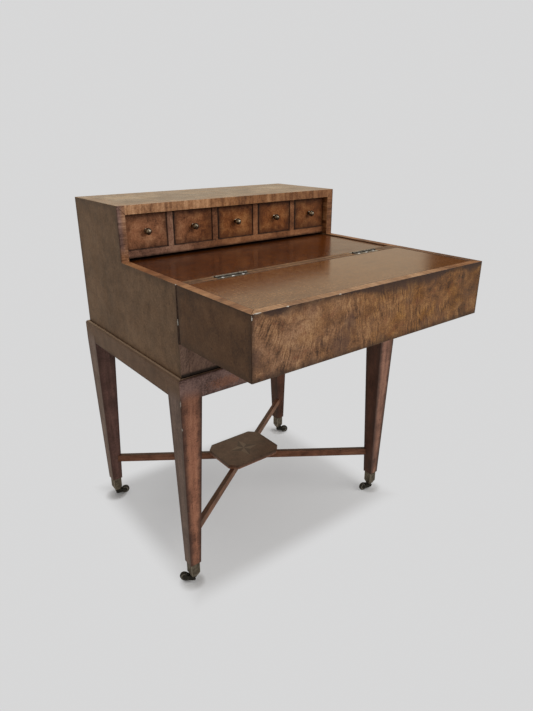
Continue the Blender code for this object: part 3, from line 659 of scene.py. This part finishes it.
for middle, half, depth in RUBBED_PLACES:
    reach = abs(s.x - middle).fade(half, half * RUBBED_CORE) * depth + RUBBED_LEAST
    edge_band = below_top.fade(*[reach * part for part in RUBBED_FADE])
    colour = s.mix(edge_band * RUBBED_SHARE, colour, PURPLE_WEAR)
rim, rim_tone = crossband(s, s.x, s.y, PALE_RIM_TONES, seed=7.0)
rim = s.mix(s.x.fade(*BROWN_RIM) * BROWN_RIM_SHARE, rim, s.ramp(rim_tone, CASE_RIM_TONES))
colour = s.mix(on_top(s), colour, rim)
colour = chipped(s, colour, LEAF_CHIPS)
s.surface(colour, gloss(s, WORN_WAX, seed=3.0), height, BURL_RELIEF, specular=0.4)
dress(s.material, "leaf_front")

# Strips either side of the seam: crossbanded on top, with painted shade as dark lines along both edges
SEAM_LINE = (0.0045, 0.0012)
FAR_LINE = (0.0112, 0.0132)
LINE_SHARE = 0.7
s = Shader("seam_strip")
rim, height = crossband(s, s.x, s.y, SEAM_STRIP_TONES, seed=9.0)
from_seam = abs(s.y - SEAM)
# Painted shade: dark lines in the seam and where the strips meet the recessed fields
lines = from_seam.fade(*SEAM_LINE).most(from_seam.fade(*FAR_LINE))
rim = s.mix(lines * LINE_SHARE, rim, BURNISH_AND_SHADE)
colour = s.mix(on_top(s), strip_veneer(s), rim)
s.surface(colour, gloss(s, SATIN, seed=4.0), height, VENEER_RELIEF, specular=0.22)
dress(s.material, "leaf_back", "case_front")

# Gallery top: figured, with two pale patches, a crossbanded border and an orange to brown front edge
PALE_PLACES = ((-0.225, 0.75), (0.245, 0.5))
PALE_BACK = 0.27
PALE_REACH = (0.065, 0.055, 1.0)
PALE_RAGGED = 2.0
PALE_FADE = (1.4, 0.3)
TOP_BORDER = (0.0335, 0.0325)
PALE_RAIL = (0.0, -0.22)
BROWN_RAIL = (0.02, 0.15)
s = Shader("gallery_top_veneer")
(colour, pale), height = burl(s, s.x, s.y, (TOP_TONES, PALE_TOP_TONES), seed=10.0, lean=0.3, stroke=0.22)
border = inset(s.x, TOP_LOW.x, TOP_HIGH.x).least(inset(s.y, TOP_LOW.y, TOP_HIGH.y))
ragged = s.noise(40.0, seed=37.0, detail=4.0) - NOISE_MEAN
for place, share in PALE_PLACES:
    off = s.distance((place, PALE_BACK, TOP_HIGH.z), PALE_REACH)
    colour = s.mix((off + ragged * PALE_RAGGED).fade(*PALE_FADE) * share, colour, pale)
band = crossband(s, s.x, s.y, TOP_BAND_TONES, seed=11.0)[0]
colour = s.mix(border.fade(*TOP_BORDER), colour, band)
rail, rail_tone = crossband(s, s.x, s.z, RAIL_TONES, seed=12.0, streaks=90.0)
rail = s.mix(s.x.fade(*PALE_RAIL), rail, s.ramp(rail_tone, PALE_RAIL_TONES))
rail = s.mix(s.x.fade(*BROWN_RAIL) * BROWN_SHARE, rail, s.ramp(rail_tone, CASE_RIM_TONES))
on_post = abs(s.x).fade(*beyond(INSIDE, VENEER_JOINT))
colour = s.mix(on_front(s), colour, s.mix(on_post, rail, post_veneer(s)))
s.surface(colour, gloss(s, POLISHED, seed=5.0), height, WAXED_RELIEF)
dress(s.material, "gallery_top")

# Shelf and dividers: brown, greyer to the left, with painted shade by the drawers and along the shelf's foot
GREY_FRAME = (-0.02, -0.24)
s = Shader("gallery_frame")
tone = s.mottle(13.0, cloud=12.0, patch=46.0, fleck=300.0, shares=EVEN_SHARES)
colour = s.mix(s.x.fade(*GREY_FRAME), s.ramp(tone, FRAME_TONES), s.ramp(tone, GREY_FRAME_TONES))
# Painted shade in the gaps round the drawers and under the shelf's front
aside = s.math("PINGPONG", s.x, DRAWER_PITCH / 2) - DRAWER_HIGH.x
off_drawer = aside.most(DRAWER_LOW.z - s.z)
colour = burnish_and_shade(s, colour, off_drawer, reach=0.003, share=0.8)
colour = burnish_and_shade(s, colour, s.z - SHELF_LOW.z, reach=0.007, share=0.85)
s.surface(colour, gloss(s, WORN_WAX, seed=6.0), tone, VENEER_RELIEF, specular=0.2)
dress(s.material, "gallery_shelf", *[f"gallery_divider_{number}" for number in range(1, 5)])

# Drawer fronts: amber burl, dark at the edges, lightest on the left and darkest on the right, with painted
# shade in the gaps round them
PALE_DRAWERS = (-0.4 * DRAWER_PITCH, -1.7 * DRAWER_PITCH)
DARK_DRAWER = (1.4 * DRAWER_PITCH, 1.6 * DRAWER_PITCH)
DARK_DRAWER_SHARE = 0.2
DRAWER_PALETTES = (DRAWER_TONES, PALE_DRAWER_TONES)
s = Shader("drawer_burl")
(amber, pale), height = burl(s, s.x, s.z, DRAWER_PALETTES, seed=14.0, lean=0.1, scale=1.5, stroke=0.12)
colour = s.mix(s.x.fade(*PALE_DRAWERS), amber, pale)
colour = s.mix(s.x.fade(*DARK_DRAWER) * DARK_DRAWER_SHARE, colour, BURNISH_AND_SHADE)
from_middle = s.math("WRAP", s.x, DRAWER_PITCH / 2, -DRAWER_PITCH / 2)
edge = (DRAWER_HIGH.x - abs(from_middle)).least(inset(s.z, DRAWER_LOW.z, DRAWER_HIGH.z))
from_left = from_middle + DRAWER_HIGH.x
colour = burnish_and_shade(s, colour, edge, reach=0.026, share=0.50)
# Painted shade: thin dark lines in the gaps round each front, heavier on its left
colour = burnish_and_shade(s, colour, edge, reach=0.004, share=0.8)
colour = burnish_and_shade(s, colour, from_left, reach=0.009, share=0.85)
colour = burnish_and_shade(s, colour, from_left, reach=0.003, share=1.0, stain=GAP_SHADE)
s.surface(colour, gloss(s, WAXED, seed=7.0), height, BURL_RELIEF, specular=0.2)
dress(s.material, *[f"drawer_{number}_front" for number in range(1, 6)])

# Drawer trays: bare, dry softwood with its grain from front to back
s = Shader("tray_wood")
colour, height = board(s, (120.0, 14.0, 120.0), TRAY_TONES, seed=15.0)
s.surface(colour, gloss(s, DRY, seed=8.0), height, VENEER_RELIEF, specular=0.3)
dress(s.material, *[f"drawer_{number}_tray" for number in range(1, 6)])

# Deck and writing field: polished, with fine streaks across the desk, dark specks and redder places
FIELD_GRAIN = (12.0, 150.0, 150.0)
FIELD_STREAK = 0.22
FIELD_SHARES = (0.18, 0.20, 0.64)
FIELD_SPECK_SHARE = 0.65
RED_LEFT = (0.12, -0.22)
RED_BACK = (-0.36, -0.18)
RED_END = (0.01, 0.0)
RED_IN_TONE = (0.62, 0.40)
RED_LEFT_SHARE = 0.8
RED_RIGHT = (0.10, 0.30)
RED_RIGHT_SHARE = 0.6
for name, low, high, tones, seed, sheen in (
    ("deck_board", DECK_LOW, DECK_HIGH, DECK_TONES, 16.0, DECK_SHEEN),
    ("leaf_top", FIELD_LOW, FIELD_HIGH, FIELD_TONES, 17.0, FIELD_SHEEN),
):
    s = Shader(name + "_field")
    streak = s.noise(FIELD_GRAIN, seed, detail=5.0)
    mottle = s.mottle(seed + 2.0, cloud=8.0, patch=40.0, fleck=240.0, shares=FIELD_SHARES)
    tone = streak * FIELD_STREAK + mottle - excess(FIELD_STREAK, *FIELD_SHARES)
    colour = s.ramp(tone, tones)
    red_left = s.x.fade(*RED_LEFT) * s.y.fade(*RED_BACK) * s.y.fade(*beyond(SEAM, RED_END))
    colour = s.mix(red_left * tone.fade(*RED_IN_TONE) * RED_LEFT_SHARE, colour, RED_FIELD)
    colour = s.mix(s.x.fade(*RED_RIGHT) * RED_RIGHT_SHARE, colour, RED_FIELD)
    speck = s.patches(300.0, seed + 5.0, low=0.56, high=0.68, detail=2.0)
    colour = s.mix(speck * FIELD_SPECK_SHARE, colour, tones[0])
    edge = inset(s.x, low.x, high.x).least(inset(s.y, low.y, high.y))
    colour = burnish_and_shade(s, colour, edge, reach=0.005, share=0.45)
    # Painted shade on the deck under the gallery's shelf
    colour = burnish_and_shade(s, colour, SHELF_LOW.y - s.y, reach=0.010, share=0.9)
    s.surface(colour, gloss(s, sheen, seed), tone, FIELD_RELIEF, specular=0.42)
    dress(s.material, name)

# Back and bottoms: plain stained boards with their grain across the desk
s = Shader("carcase_wood")
colour, height = board(s, (14.0, 120.0, 120.0), CARCASE_TONES, seed=18.0)
s.surface(colour, gloss(s, STAINED, seed=9.0), height, VENEER_RELIEF, specular=0.3)
dress(s.material, "case_back", "case_bottom", "leaf_bottom")


# Shares of clouds, patches and flecks in the stand's two woods
OLIVE_SHARES = (0.38, 0.30, 0.32)
PURPLE_SHARES = (0.36, 0.30, 0.34)


def stand_wood(s):
    """Waxed wood of the stand's frame: olive-brown, and purple-brown on the front."""
    olive = s.mottle(40.0, cloud=8.0, patch=38.0, fleck=300.0, shares=OLIVE_SHARES)
    purple = s.mottle(44.0, cloud=12.0, patch=42.0, fleck=300.0, shares=PURPLE_SHARES)
    return s.mix(on_front(s), s.ramp(olive, OLIVE_TONES), s.ramp(purple, PURPLE_TONES)), olive + purple


# Legs: grey-brown outer sides, orange-brown fronts and backs with dark arrises, and painted shade on the
# inner faces
LEG_GRAIN = (120.0, 120.0, 10.0)
LEG_STREAK = 0.3
LEG_SHARES = (0.30, 0.16, 0.24)
LEG_BROWNING = (-0.1, 0.1)
GREY_RISE = (0.0, 0.3)
GREY_LIGHTER = 0.03
ARRIS_SHARE = 0.50
ARRIS_MORE = 0.40
LEG_SPECK_SHARE = 0.7
LEG_HEAD = (-0.004, 0.030)
LEG_CHIP_SHARE = 0.6
LEG_CHIPS = (
    ((LEG_LOW.x, LEG_LOW.y, 0.508), (0.0016, 0.0016, 0.0070)),
    ((LEG_LOW.x + 0.001, LEG_LOW.y + 0.002, 0.446), (0.0018, 0.0018, 0.0040)),
)
s = Shader("leg_wood")
tone = s.noise(LEG_GRAIN, seed=19.0, detail=5.0) * LEG_STREAK
tone = tone + s.mottle(20.0, cloud=16.0, patch=44.0, fleck=320.0, shares=LEG_SHARES)
to_right = s.x.fade(*LEG_BROWNING)
outer = s.mix(to_right, s.ramp(tone, LEG_TONES), s.ramp(tone, BROWN_LEG_TONES))
# Inner faces take darker copies of the wood, darker still on the right: painted shade
dark = s.ramp(tone, INNER_SHADE_LEG_TONES)
inner = s.mix(to_right, s.ramp(tone, SHADED_LEG_TONES), dark)
grey = s.ramp(tone + s.y.fade(*GREY_RISE) * GREY_LIGHTER, GREY_LEG_TONES)
out_x = s.facing_x * s.math("SIGN", s.x)
out_y = s.facing_y * s.math("SIGN", s.y - STAND_MIDDLE)
colour = s.mix(outward(out_y), inner, outer)
colour = s.mix(inward(out_x), colour, dark)
colour = s.mix(outward(out_x), colour, grey)
down = (APRON_LOW.z - s.z).most(0.0) * (1.0 / LEG_TAPER)
half_width = down * ((LEG_FOOT_WIDTH - LEG_TOP_WIDTH) / 2) + LEG_TOP_WIDTH / 2
off_x = abs(abs(s.x) - (down * (FOOT_X - LEG_TOP_X) + LEG_TOP_X))
off_y = abs(abs(s.y - STAND_MIDDLE) - (down * (FOOT_Y - LEG_TOP_Y) + LEG_TOP_Y))
edge = half_width - off_x.least(off_y)
arris = outward(out_y) * ARRIS_MORE + ARRIS_SHARE
colour = burnish_and_shade(s, colour, edge, reach=0.016, share=arris, stain=PURPLE_WEAR)
speck = s.patches(190.0, seed=21.0, low=0.69, high=0.75, detail=1.0)
colour = s.mix(speck * LEG_SPECK_SHARE, colour, BURNISH_AND_SHADE)
upper, height = stand_wood(s)
colour = s.mix(s.z.fade(*beyond(APRON_LOW.z, LEG_HEAD)), colour, upper)
for centre, reach in LEG_CHIPS:
    colour = s.mix(s.blot(centre, reach) * LEG_CHIP_SHARE, colour, BARE_GROUND)
s.surface(colour, gloss(s, WAXED, seed=10.0), height, WAXED_RELIEF, specular=0.3)
dress(s.material, *["leg_" + corner for corner in CORNERS])

# Aprons: the same wood, with a painted highlight line and painted shade on the lip, and an orange patch on
# the front
PATCH_MIDDLE = (-0.225, APRON_LOW.y, 0.530)
PATCH_REACH = (0.045, 0.010, 0.012)
PATCH_SHARE = 0.75
LIP_ROUND = (0.0, 0.003)
LIP_SHADE_LEAN = (0.2, 0.6)
LIP_SHADE_SHARE = 0.35
LIP_HIGHLIGHT_LEAN = (0.84, 0.95)
s = Shader("apron_wood")
colour, height = stand_wood(s)
colour = burnish_and_shade(s, colour, s.z - APRON_LOW.z, reach=0.007, share=0.45, stain=PURPLE_WEAR)
patch = s.ramp(s.mottle(20.0, cloud=16.0, patch=44.0, fleck=320.0, shares=EVEN_SHARES), LEG_TONES)
colour = s.mix(s.blot(PATCH_MIDDLE, PATCH_REACH) * PATCH_SHARE, colour, patch)
# On the lip: painted shade where it turns aside, and a painted highlight line near its top
on_lip = s.z.fade(*beyond(SIDE_LOW.z, LIP_ROUND))
colour = s.mix(on_lip * s.facing_z.fade(*LIP_SHADE_LEAN) * LIP_SHADE_SHARE, colour, BURNISH_AND_SHADE)
colour = s.mix(on_lip * s.facing_z.fade(*LIP_HIGHLIGHT_LEAN), colour, LIP_HIGHLIGHT)
s.surface(colour, gloss(s, WAXED, seed=11.0), height, WAXED_RELIEF, specular=0.3)
dress(s.material, *[f"apron_{side}" for side in ("front", "right", "back", "left")])

# Stretchers: grain along each diagonal, with painted shade on top
STRETCHER_RUN = Vector((0.82, 0.57))
STRETCHER_GRAIN = 14.0
STRETCHER_FIBRES = 150.0
STRETCHER_STREAK = 0.4
STRETCHER_SHARES = (0.25, 0.20, 0.15)
STRETCHER_TOP_SHADE_SHARE = 0.6
for name, turn in (("stretcher_front_left_back_right", 1.0), ("stretcher_front_right_back_left", -1.0)):
    s = Shader(name + "_wood")
    depth = (s.y - STAND_MIDDLE) * turn
    along = s.x * STRETCHER_RUN.x + depth * STRETCHER_RUN.y
    across = depth * STRETCHER_RUN.x - s.x * STRETCHER_RUN.y
    place = s.vector(along * STRETCHER_GRAIN, across * STRETCHER_FIBRES, s.z * STRETCHER_FIBRES)
    fibre = s.noise_at(place, detail=6.0, roughness=0.62)
    mottle = s.mottle(22.0, cloud=18.0, patch=50.0, fleck=300.0, shares=STRETCHER_SHARES)
    tone = fibre * STRETCHER_STREAK + mottle
    # Tops darkened: painted shade
    colour = s.mix(on_top(s) * STRETCHER_TOP_SHADE_SHARE, s.ramp(tone, STRETCHER_TONES), BURNISH_AND_SHADE)
    s.surface(colour, gloss(s, WORN_WAX, seed=12.0), tone, WAXED_RELIEF, specular=0.3)
    dress(s.material, name)

# Platform: brown, with a four-rayed star let into its top and lighter, more orange lower edges
PLATFORM_LOW_EDGE = 0.004
PLATFORM_LOW_EDGE_SHARE = 0.7
STAR_REACH = 0.047
STAR_WAIST = 0.022
STAR_TURN = math.radians(-12.0)
STAR_EDGE = 0.005
STAR_SPLIT = 0.0006
STAR_SHARE = 0.65
EIGHTH_TURN = math.pi / 4
s = Shader("platform_wood")
height = s.mottle(24.0, cloud=12.0, patch=46.0, fleck=300.0, shares=EVEN_SHARES)
colour = s.ramp(height, PLATFORM_TONES)
edge = inset(s.x, PLATFORM_LOW.x, PLATFORM_HIGH.x).least(inset(s.y, PLATFORM_LOW.y, PLATFORM_HIGH.y))
colour = burnish_and_shade(s, colour, edge, reach=0.008, share=0.35)
edge_band = s.z.fade(PLATFORM_HIGH.z - PLATFORM_LOW_EDGE, PLATFORM_LOW.z) * (1.0 - on_top(s))
colour = s.mix(edge_band * PLATFORM_LOW_EDGE_SHARE, colour, s.ramp(height, LEG_TONES))
from_middle = s.y - STAND_MIDDLE
radius = s.math("SQRT", s.x * s.x + from_middle * from_middle)
angle = s.math("WRAP", s.math("ARCTAN2", from_middle, s.x) - STAR_TURN, EIGHTH_TURN, -EIGHTH_TURN)
out = radius * s.math("COSINE", angle)
aside = radius * s.math("SINE", angle)
waist = STAR_WAIST * math.cos(EIGHTH_TURN)
in_star = (out + abs(aside) * ((STAR_REACH - waist) / waist)).fade(STAR_REACH, STAR_REACH - STAR_EDGE)
ray = s.mix(aside.fade(STAR_SPLIT, -STAR_SPLIT), STAR_DARK, STAR_LIGHT)
colour = s.mix(in_star * on_top(s) * STAR_SHARE, colour, ray)
s.surface(colour, gloss(s, WORN_WAX, seed=13.0), height, WAXED_RELIEF)
dress(s.material, "stretcher_platform")


# Metal: clouds of patina and scratches to the metre, and the share of the patina
PATINA_CLOUDS = 120.0
SCRATCHES = (1500.0, 160.0, 700.0)
PATINA_SHARE = 0.7


def metal(name, tones, sheen, seed):
    """Aged metal: cloudy patina and fine scratches. Gives its shader, colour, roughness and relief."""
    s = Shader(name)
    patina = s.noise(PATINA_CLOUDS, seed, detail=6.0, roughness=0.65)
    scratch = s.noise(SCRATCHES, seed + 4.0, detail=2.0)
    tone = patina * PATINA_SHARE + scratch * (1.0 - PATINA_SHARE)
    return s, s.ramp(tone, tones), gloss(s, sheen, seed), tone


# Castor sockets: dull brass, rubbed bright along the upright corners
SOCKET_WORN = (-0.0016, -0.0002)
SOCKET_WORN_SHARE = 0.7
s, colour, roughness, height = metal("socket_brass", BRASS_TONES, sheen=(0.36, 0.56), seed=23.0)
off_axis = abs(abs(s.x) - FOOT_X).least(abs(abs(s.y - STAND_MIDDLE) - FOOT_Y))
half_socket = (SOCKET_HIGH.x - SOCKET_LOW.x) / 2
worn = off_axis.fade(*beyond(half_socket, SOCKET_WORN))
colour = s.mix(worn * SOCKET_WORN_SHARE, colour, BRASS_WORN)
s.surface(colour, roughness, height, METAL_RELIEF, metallic=0.6)
dress(s.material, *["castor_socket_" + corner for corner in CORNERS])

# Castor forks: near-black iron
s, colour, roughness, height = metal("fork_iron", IRON_TONES, sheen=(0.34, 0.54), seed=24.0)
s.surface(colour, roughness, height, METAL_RELIEF, metallic=0.5)
dress(s.material, *["castor_fork_" + corner for corner in CORNERS])

# Castor wheels: black treads with a painted highlight on the hubs
HUB_EDGE = (0.0105, 0.0085)
HUB_SHARE = 0.7
for corner in CORNERS:
    s, colour, roughness, height = metal(f"wheel_{corner}_iron", IRON_TONES, sheen=(0.30, 0.50), seed=25.0)
    low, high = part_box("castor_wheel_" + corner)
    # Painted highlight: the hub lighter than the tread
    hub = s.distance((low + high) / 2).fade(*HUB_EDGE)
    s.surface(s.mix(hub * HUB_SHARE, colour, IRON_HIGHLIGHT), roughness, height, METAL_RELIEF, metallic=0.4)
    dress(s.material, "castor_wheel_" + corner)

# Knobs: dark, polished bronze
s, colour, roughness, height = metal("knob_bronze", KNOB_TONES, sheen=(0.20, 0.32), seed=26.0)
s.surface(colour, roughness, height, METAL_RELIEF, metallic=1.0)
dress(s.material, *[f"drawer_{number}_knob" for number in range(1, 6)])

# Hinges: tarnished nickel, duller on the left leaf plate, with painted shade along the knuckles
DULL_SEAM = (0.003, -0.003)
DULL_LEFT = (0.1, -0.1)
DULL_SHARE = 0.6
KNUCKLE_SHADE_REACH = (0.0062, 0.0042)
KNUCKLE_SHADE_LEAN = (0.80, 0.45)
KNUCKLE_SHADE_SHARE = 0.95
s, colour, roughness, height = metal("hinge_nickel", NICKEL_TONES, sheen=(0.26, 0.44), seed=27.0)
dull = s.y.fade(*beyond(SEAM, DULL_SEAM)) * s.x.fade(*DULL_LEFT)
colour = s.mix(dull * DULL_SHARE, colour, NICKEL_DULL)
tarnish = s.patches(260.0, seed=29.0, low=0.48, high=0.62, detail=2.0)
colour = s.mix(tarnish * DULL_SHARE, colour, NICKEL_DULL)
# Painted shade along the knuckles, on the faces that turn aside
knuckle_shading = abs(s.y - SEAM).fade(*KNUCKLE_SHADE_REACH) * s.facing_z.fade(*KNUCKLE_SHADE_LEAN)
colour = s.mix(knuckle_shading * KNUCKLE_SHADE_SHARE, colour, KNUCKLE_SHADE_COLOUR)
s.surface(colour, roughness, height, METAL_RELIEF, metallic=0.8)
dress(s.material, *[f"hinge_{side}_{half}_plate" for side in ("left", "right") for half in ("case", "leaf")])

# Countersunk hinge screws, three to a plate, in one mesh for each plate
SCREW_SPACING = 0.0257
SCREW_RADIUS = 0.0032
SCREW_RISE = 0.00030
SCREW_SUNK = 0.0008
SCREW_BEVEL = 0.0005
SCREW_SLOT = 0.0007
SCREW_SLOT_DEPTH = 0.0006
SCREW_SLOT_REACH = 0.95
SCREW_STEPS = 10
SCREW_TURNS = (0.4, 1.9, 2.7)
SCREW_INSET = 0.0052


def stack(bm, outlines):
    """A closed solid through outlines laid one over the other, with both ends capped."""
    loops = [[bm.verts.new(point) for point in outline] for outline in outlines]
    count = len(loops[0])
    for lower, upper in zip(loops, loops[1:]):
        for i in range(count):
            j = (i + 1) % count
            bm.faces.new((lower[i], lower[j], upper[j], upper[i]))
    bm.faces.new(loops[0])
    bm.faces.new(loops[-1])


def half_head(radius, side, z):
    """The rim of half a screw head, on one side of its slot."""
    start = math.asin(SCREW_SLOT / 2 / radius)
    points = []
    for step in range(SCREW_STEPS + 1):
        angle = start + (math.pi - 2 * start) * step / SCREW_STEPS
        points.append(Vector((radius * math.cos(angle), side * radius * math.sin(angle), z)))
    return points


def screw_head(bm, place, turn):
    """A head made of two halves with a sunk bar between them."""
    facing = Matrix.Translation(place) @ Matrix.Rotation(turn, 4, "Z")
    rims = ((SCREW_RADIUS, -SCREW_SUNK), (SCREW_RADIUS, 0.0), (SCREW_RADIUS - SCREW_BEVEL, SCREW_RISE))
    solids = [[half_head(radius, side, z) for radius, z in rims] for side in (-1, 1)]
    reach = SCREW_RADIUS * SCREW_SLOT_REACH
    half = SCREW_SLOT / 2
    bar = ((-reach, -half), (reach, -half), (reach, half), (-reach, half))
    levels = (-SCREW_SUNK, SCREW_RISE - SCREW_SLOT_DEPTH)
    solids.append([[Vector((x, y, z)) for x, y in bar] for z in levels])
    for outlines in solids:
        stack(bm, [[facing @ point for point in outline] for outline in outlines])


s, colour, roughness, height = metal("screw_nickel", SCREW_TONES, sheen=(0.18, 0.34), seed=28.0)
s.surface(colour, roughness, height, METAL_RELIEF, metallic=0.3)
for side in ("left", "right"):
    for half, body in (("case", "desk"), ("leaf", "leaf")):
        low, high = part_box(f"hinge_{side}_{half}_plate")
        middle = (low.x + high.x) / 2
        y = high.y - SCREW_INSET if half == "case" else low.y + SCREW_INSET
        bm = bmesh.new()
        for number, turn in enumerate(SCREW_TURNS):
            screw_head(bm, Vector((middle + (number - 1) * SCREW_SPACING, y, DECK_LEVEL)), turn)
        bmesh.ops.recalc_face_normals(bm, faces=bm.faces)
        name = f"hinge_{side}_{half}_screws"
        mesh = bpy.data.meshes.new(name)
        bm.to_mesh(mesh)
        bm.free()
        mesh.materials.append(s.material)
        screws = bpy.data.objects.new(name, mesh)
        bpy.context.scene.collection.objects.link(screws)
        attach(screws, body)

# Floor: even for the camera, but for a part of the desk's shadow, and all of it close to the castors
BACKGROUND = (0.682, 0.682, 0.684)
FLOOR_COLOUR = (0.74, 0.74, 0.745)
FLOOR_REFLECTED = (0.42, 0.37, 0.30)
FLOOR_RADIUS = 30.0
SHADE_HALF_WIDTH = 0.335
SHADE_HALF_DEPTH = 0.28
SHADE_SOFT = 0.04
SHADE_EVEN = 0.43
CASTOR_SHADE_NEAR = 0.016
CASTOR_SHADE_FAR = 0.046
mesh = bpy.data.meshes.new("floor")
bm = bmesh.new()
bmesh.ops.create_circle(bm, cap_ends=True, radius=FLOOR_RADIUS, segments=64)
bm.to_mesh(mesh)
bm.free()
floor = bpy.data.objects.new("floor", mesh)
bpy.context.scene.collection.objects.link(floor)
s = Shader("floor_paper")
path = s.tree.nodes.new("ShaderNodeLightPath")
by_camera = Signal(s, path.outputs["Is Camera Ray"])
by_gloss = Signal(s, path.outputs["Is Glossy Ray"])
outside = (abs(s.x) - SHADE_HALF_WIDTH).most(abs(s.y - STAND_MIDDLE) - SHADE_HALF_DEPTH)
even_share = outside.fade(-SHADE_SOFT, SHADE_SOFT) * (1.0 - SHADE_EVEN) + SHADE_EVEN
for corner in CORNERS:
    low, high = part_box("castor_socket_" + corner)
    under = Vector(((low.x + high.x) / 2, (low.y + high.y) / 2, 0.0))
    even_share = even_share.least(s.distance(under).fade(CASTOR_SHADE_NEAR, CASTOR_SHADE_FAR))
lit = s.add("BsdfDiffuse", {"Color": FLOOR_COLOUR})
even = s.add("Emission", {"Color": s.mix(by_gloss, BACKGROUND, FLOOR_REFLECTED), "Strength": 1.0})
joined = s.add("MixShader", {0: (by_camera * even_share).most(by_gloss), 1: lit, 2: even})
s.tree.links.new(joined, s.tree.nodes["Material Output"].inputs["Surface"])
mesh.materials.append(s.material)

# World: even background for the camera, a warm room with one dark end for reflections, soft fill for the rest
ROOM_LOW = (0.53, 0.50, 0.43)
ROOM_HIGH = (0.68, 0.565, 0.40)
ROOM_RISE = (0.08, 0.17)
ROOM_DARK = (0.07, 0.045, 0.025)
ROOM_DARK_FROM = math.radians(53.6)
ROOM_DARK_TO = math.radians(54.9)
FILL = (0.36, 0.355, 0.345)
world = bpy.data.worlds.new("room")
bpy.context.scene.world = world
world.use_nodes = True
around = Nodes(world.node_tree, world.node_tree.nodes.new("ShaderNodeTexCoord").outputs["Generated"])
room = around.mix(around.z.fade(*ROOM_RISE), ROOM_LOW, ROOM_HIGH)
azimuth = around.math("ARCTAN2", around.x, around.y)
room = around.mix(azimuth.fade(ROOM_DARK_FROM, ROOM_DARK_TO), room, ROOM_DARK)
path = world.node_tree.nodes.new("ShaderNodeLightPath")
lighting = around.mix(path.outputs["Is Glossy Ray"], FILL, room)
shown = around.mix(path.outputs["Is Camera Ray"], lighting, BACKGROUND)
around.feed(world.node_tree.nodes["Background"].inputs["Color"], shown)


def softbox(name, place, aim, width, height, power, colour):
    """A wide soft lamp, not seen by the camera."""
    lamp = bpy.data.lights.new(name, "AREA")
    lamp.shape = "RECTANGLE"
    lamp.size = width
    lamp.size_y = height
    lamp.energy = power
    lamp.color = colour
    item = bpy.data.objects.new(name, lamp)
    bpy.context.scene.collection.objects.link(item)
    item.location = place
    item.rotation_euler = (Vector(aim) - Vector(place)).to_track_quat("-Z", "Y").to_euler()
    item.visible_camera = False


# Lamps: a white one overhead, and a warmer one in front on the right
softbox(
    "overhead", place=(-0.1, 0.2, 2.9), aim=(-0.1, 0.2, 0.0),
    width=2.4, height=2.4, power=26.0, colour=(1.0, 1.0, 1.0),
)
softbox(
    "key", place=(1.3, -1.9, 2.2), aim=(0.0, 0.0, 0.5),
    width=2.0, height=1.6, power=38.0, colour=(1.0, 0.985, 0.96),
)

# Camera, from a fit to the photo's edges
TARGET = Vector((-0.10617, -0.12872, 0.55849))
DISTANCE = 1.274816
AZIMUTH = math.radians(-37.9435)
ELEVATION = math.radians(21.7822)
ROLL = math.radians(-0.0432)
FOCAL_PIXELS = 552.4
LONG_SIDE_PIXELS = 711
SENSOR = 36.0
lens = bpy.data.cameras.new("camera")
lens.sensor_fit = "AUTO"
lens.sensor_width = SENSOR
lens.lens = FOCAL_PIXELS * SENSOR / LONG_SIDE_PIXELS
lens.dof.use_dof = False
camera = bpy.data.objects.new("camera", lens)
bpy.context.scene.collection.objects.link(camera)
back = Vector((
    math.sin(AZIMUTH) * math.cos(ELEVATION),
    -math.cos(AZIMUTH) * math.cos(ELEVATION),
    math.sin(ELEVATION),
))
right = Vector((0.0, 0.0, 1.0)).cross(back).normalized()
up = back.cross(right)
turned_right = right * math.cos(ROLL) + up * math.sin(ROLL)
turned_up = up * math.cos(ROLL) - right * math.sin(ROLL)
facing = Matrix((turned_right, turned_up, back)).transposed().to_4x4()
camera.matrix_world = Matrix.Translation(TARGET + back * DISTANCE) @ facing
bpy.context.scene.camera = camera
bpy.context.scene.view_settings.view_transform = "Standard"
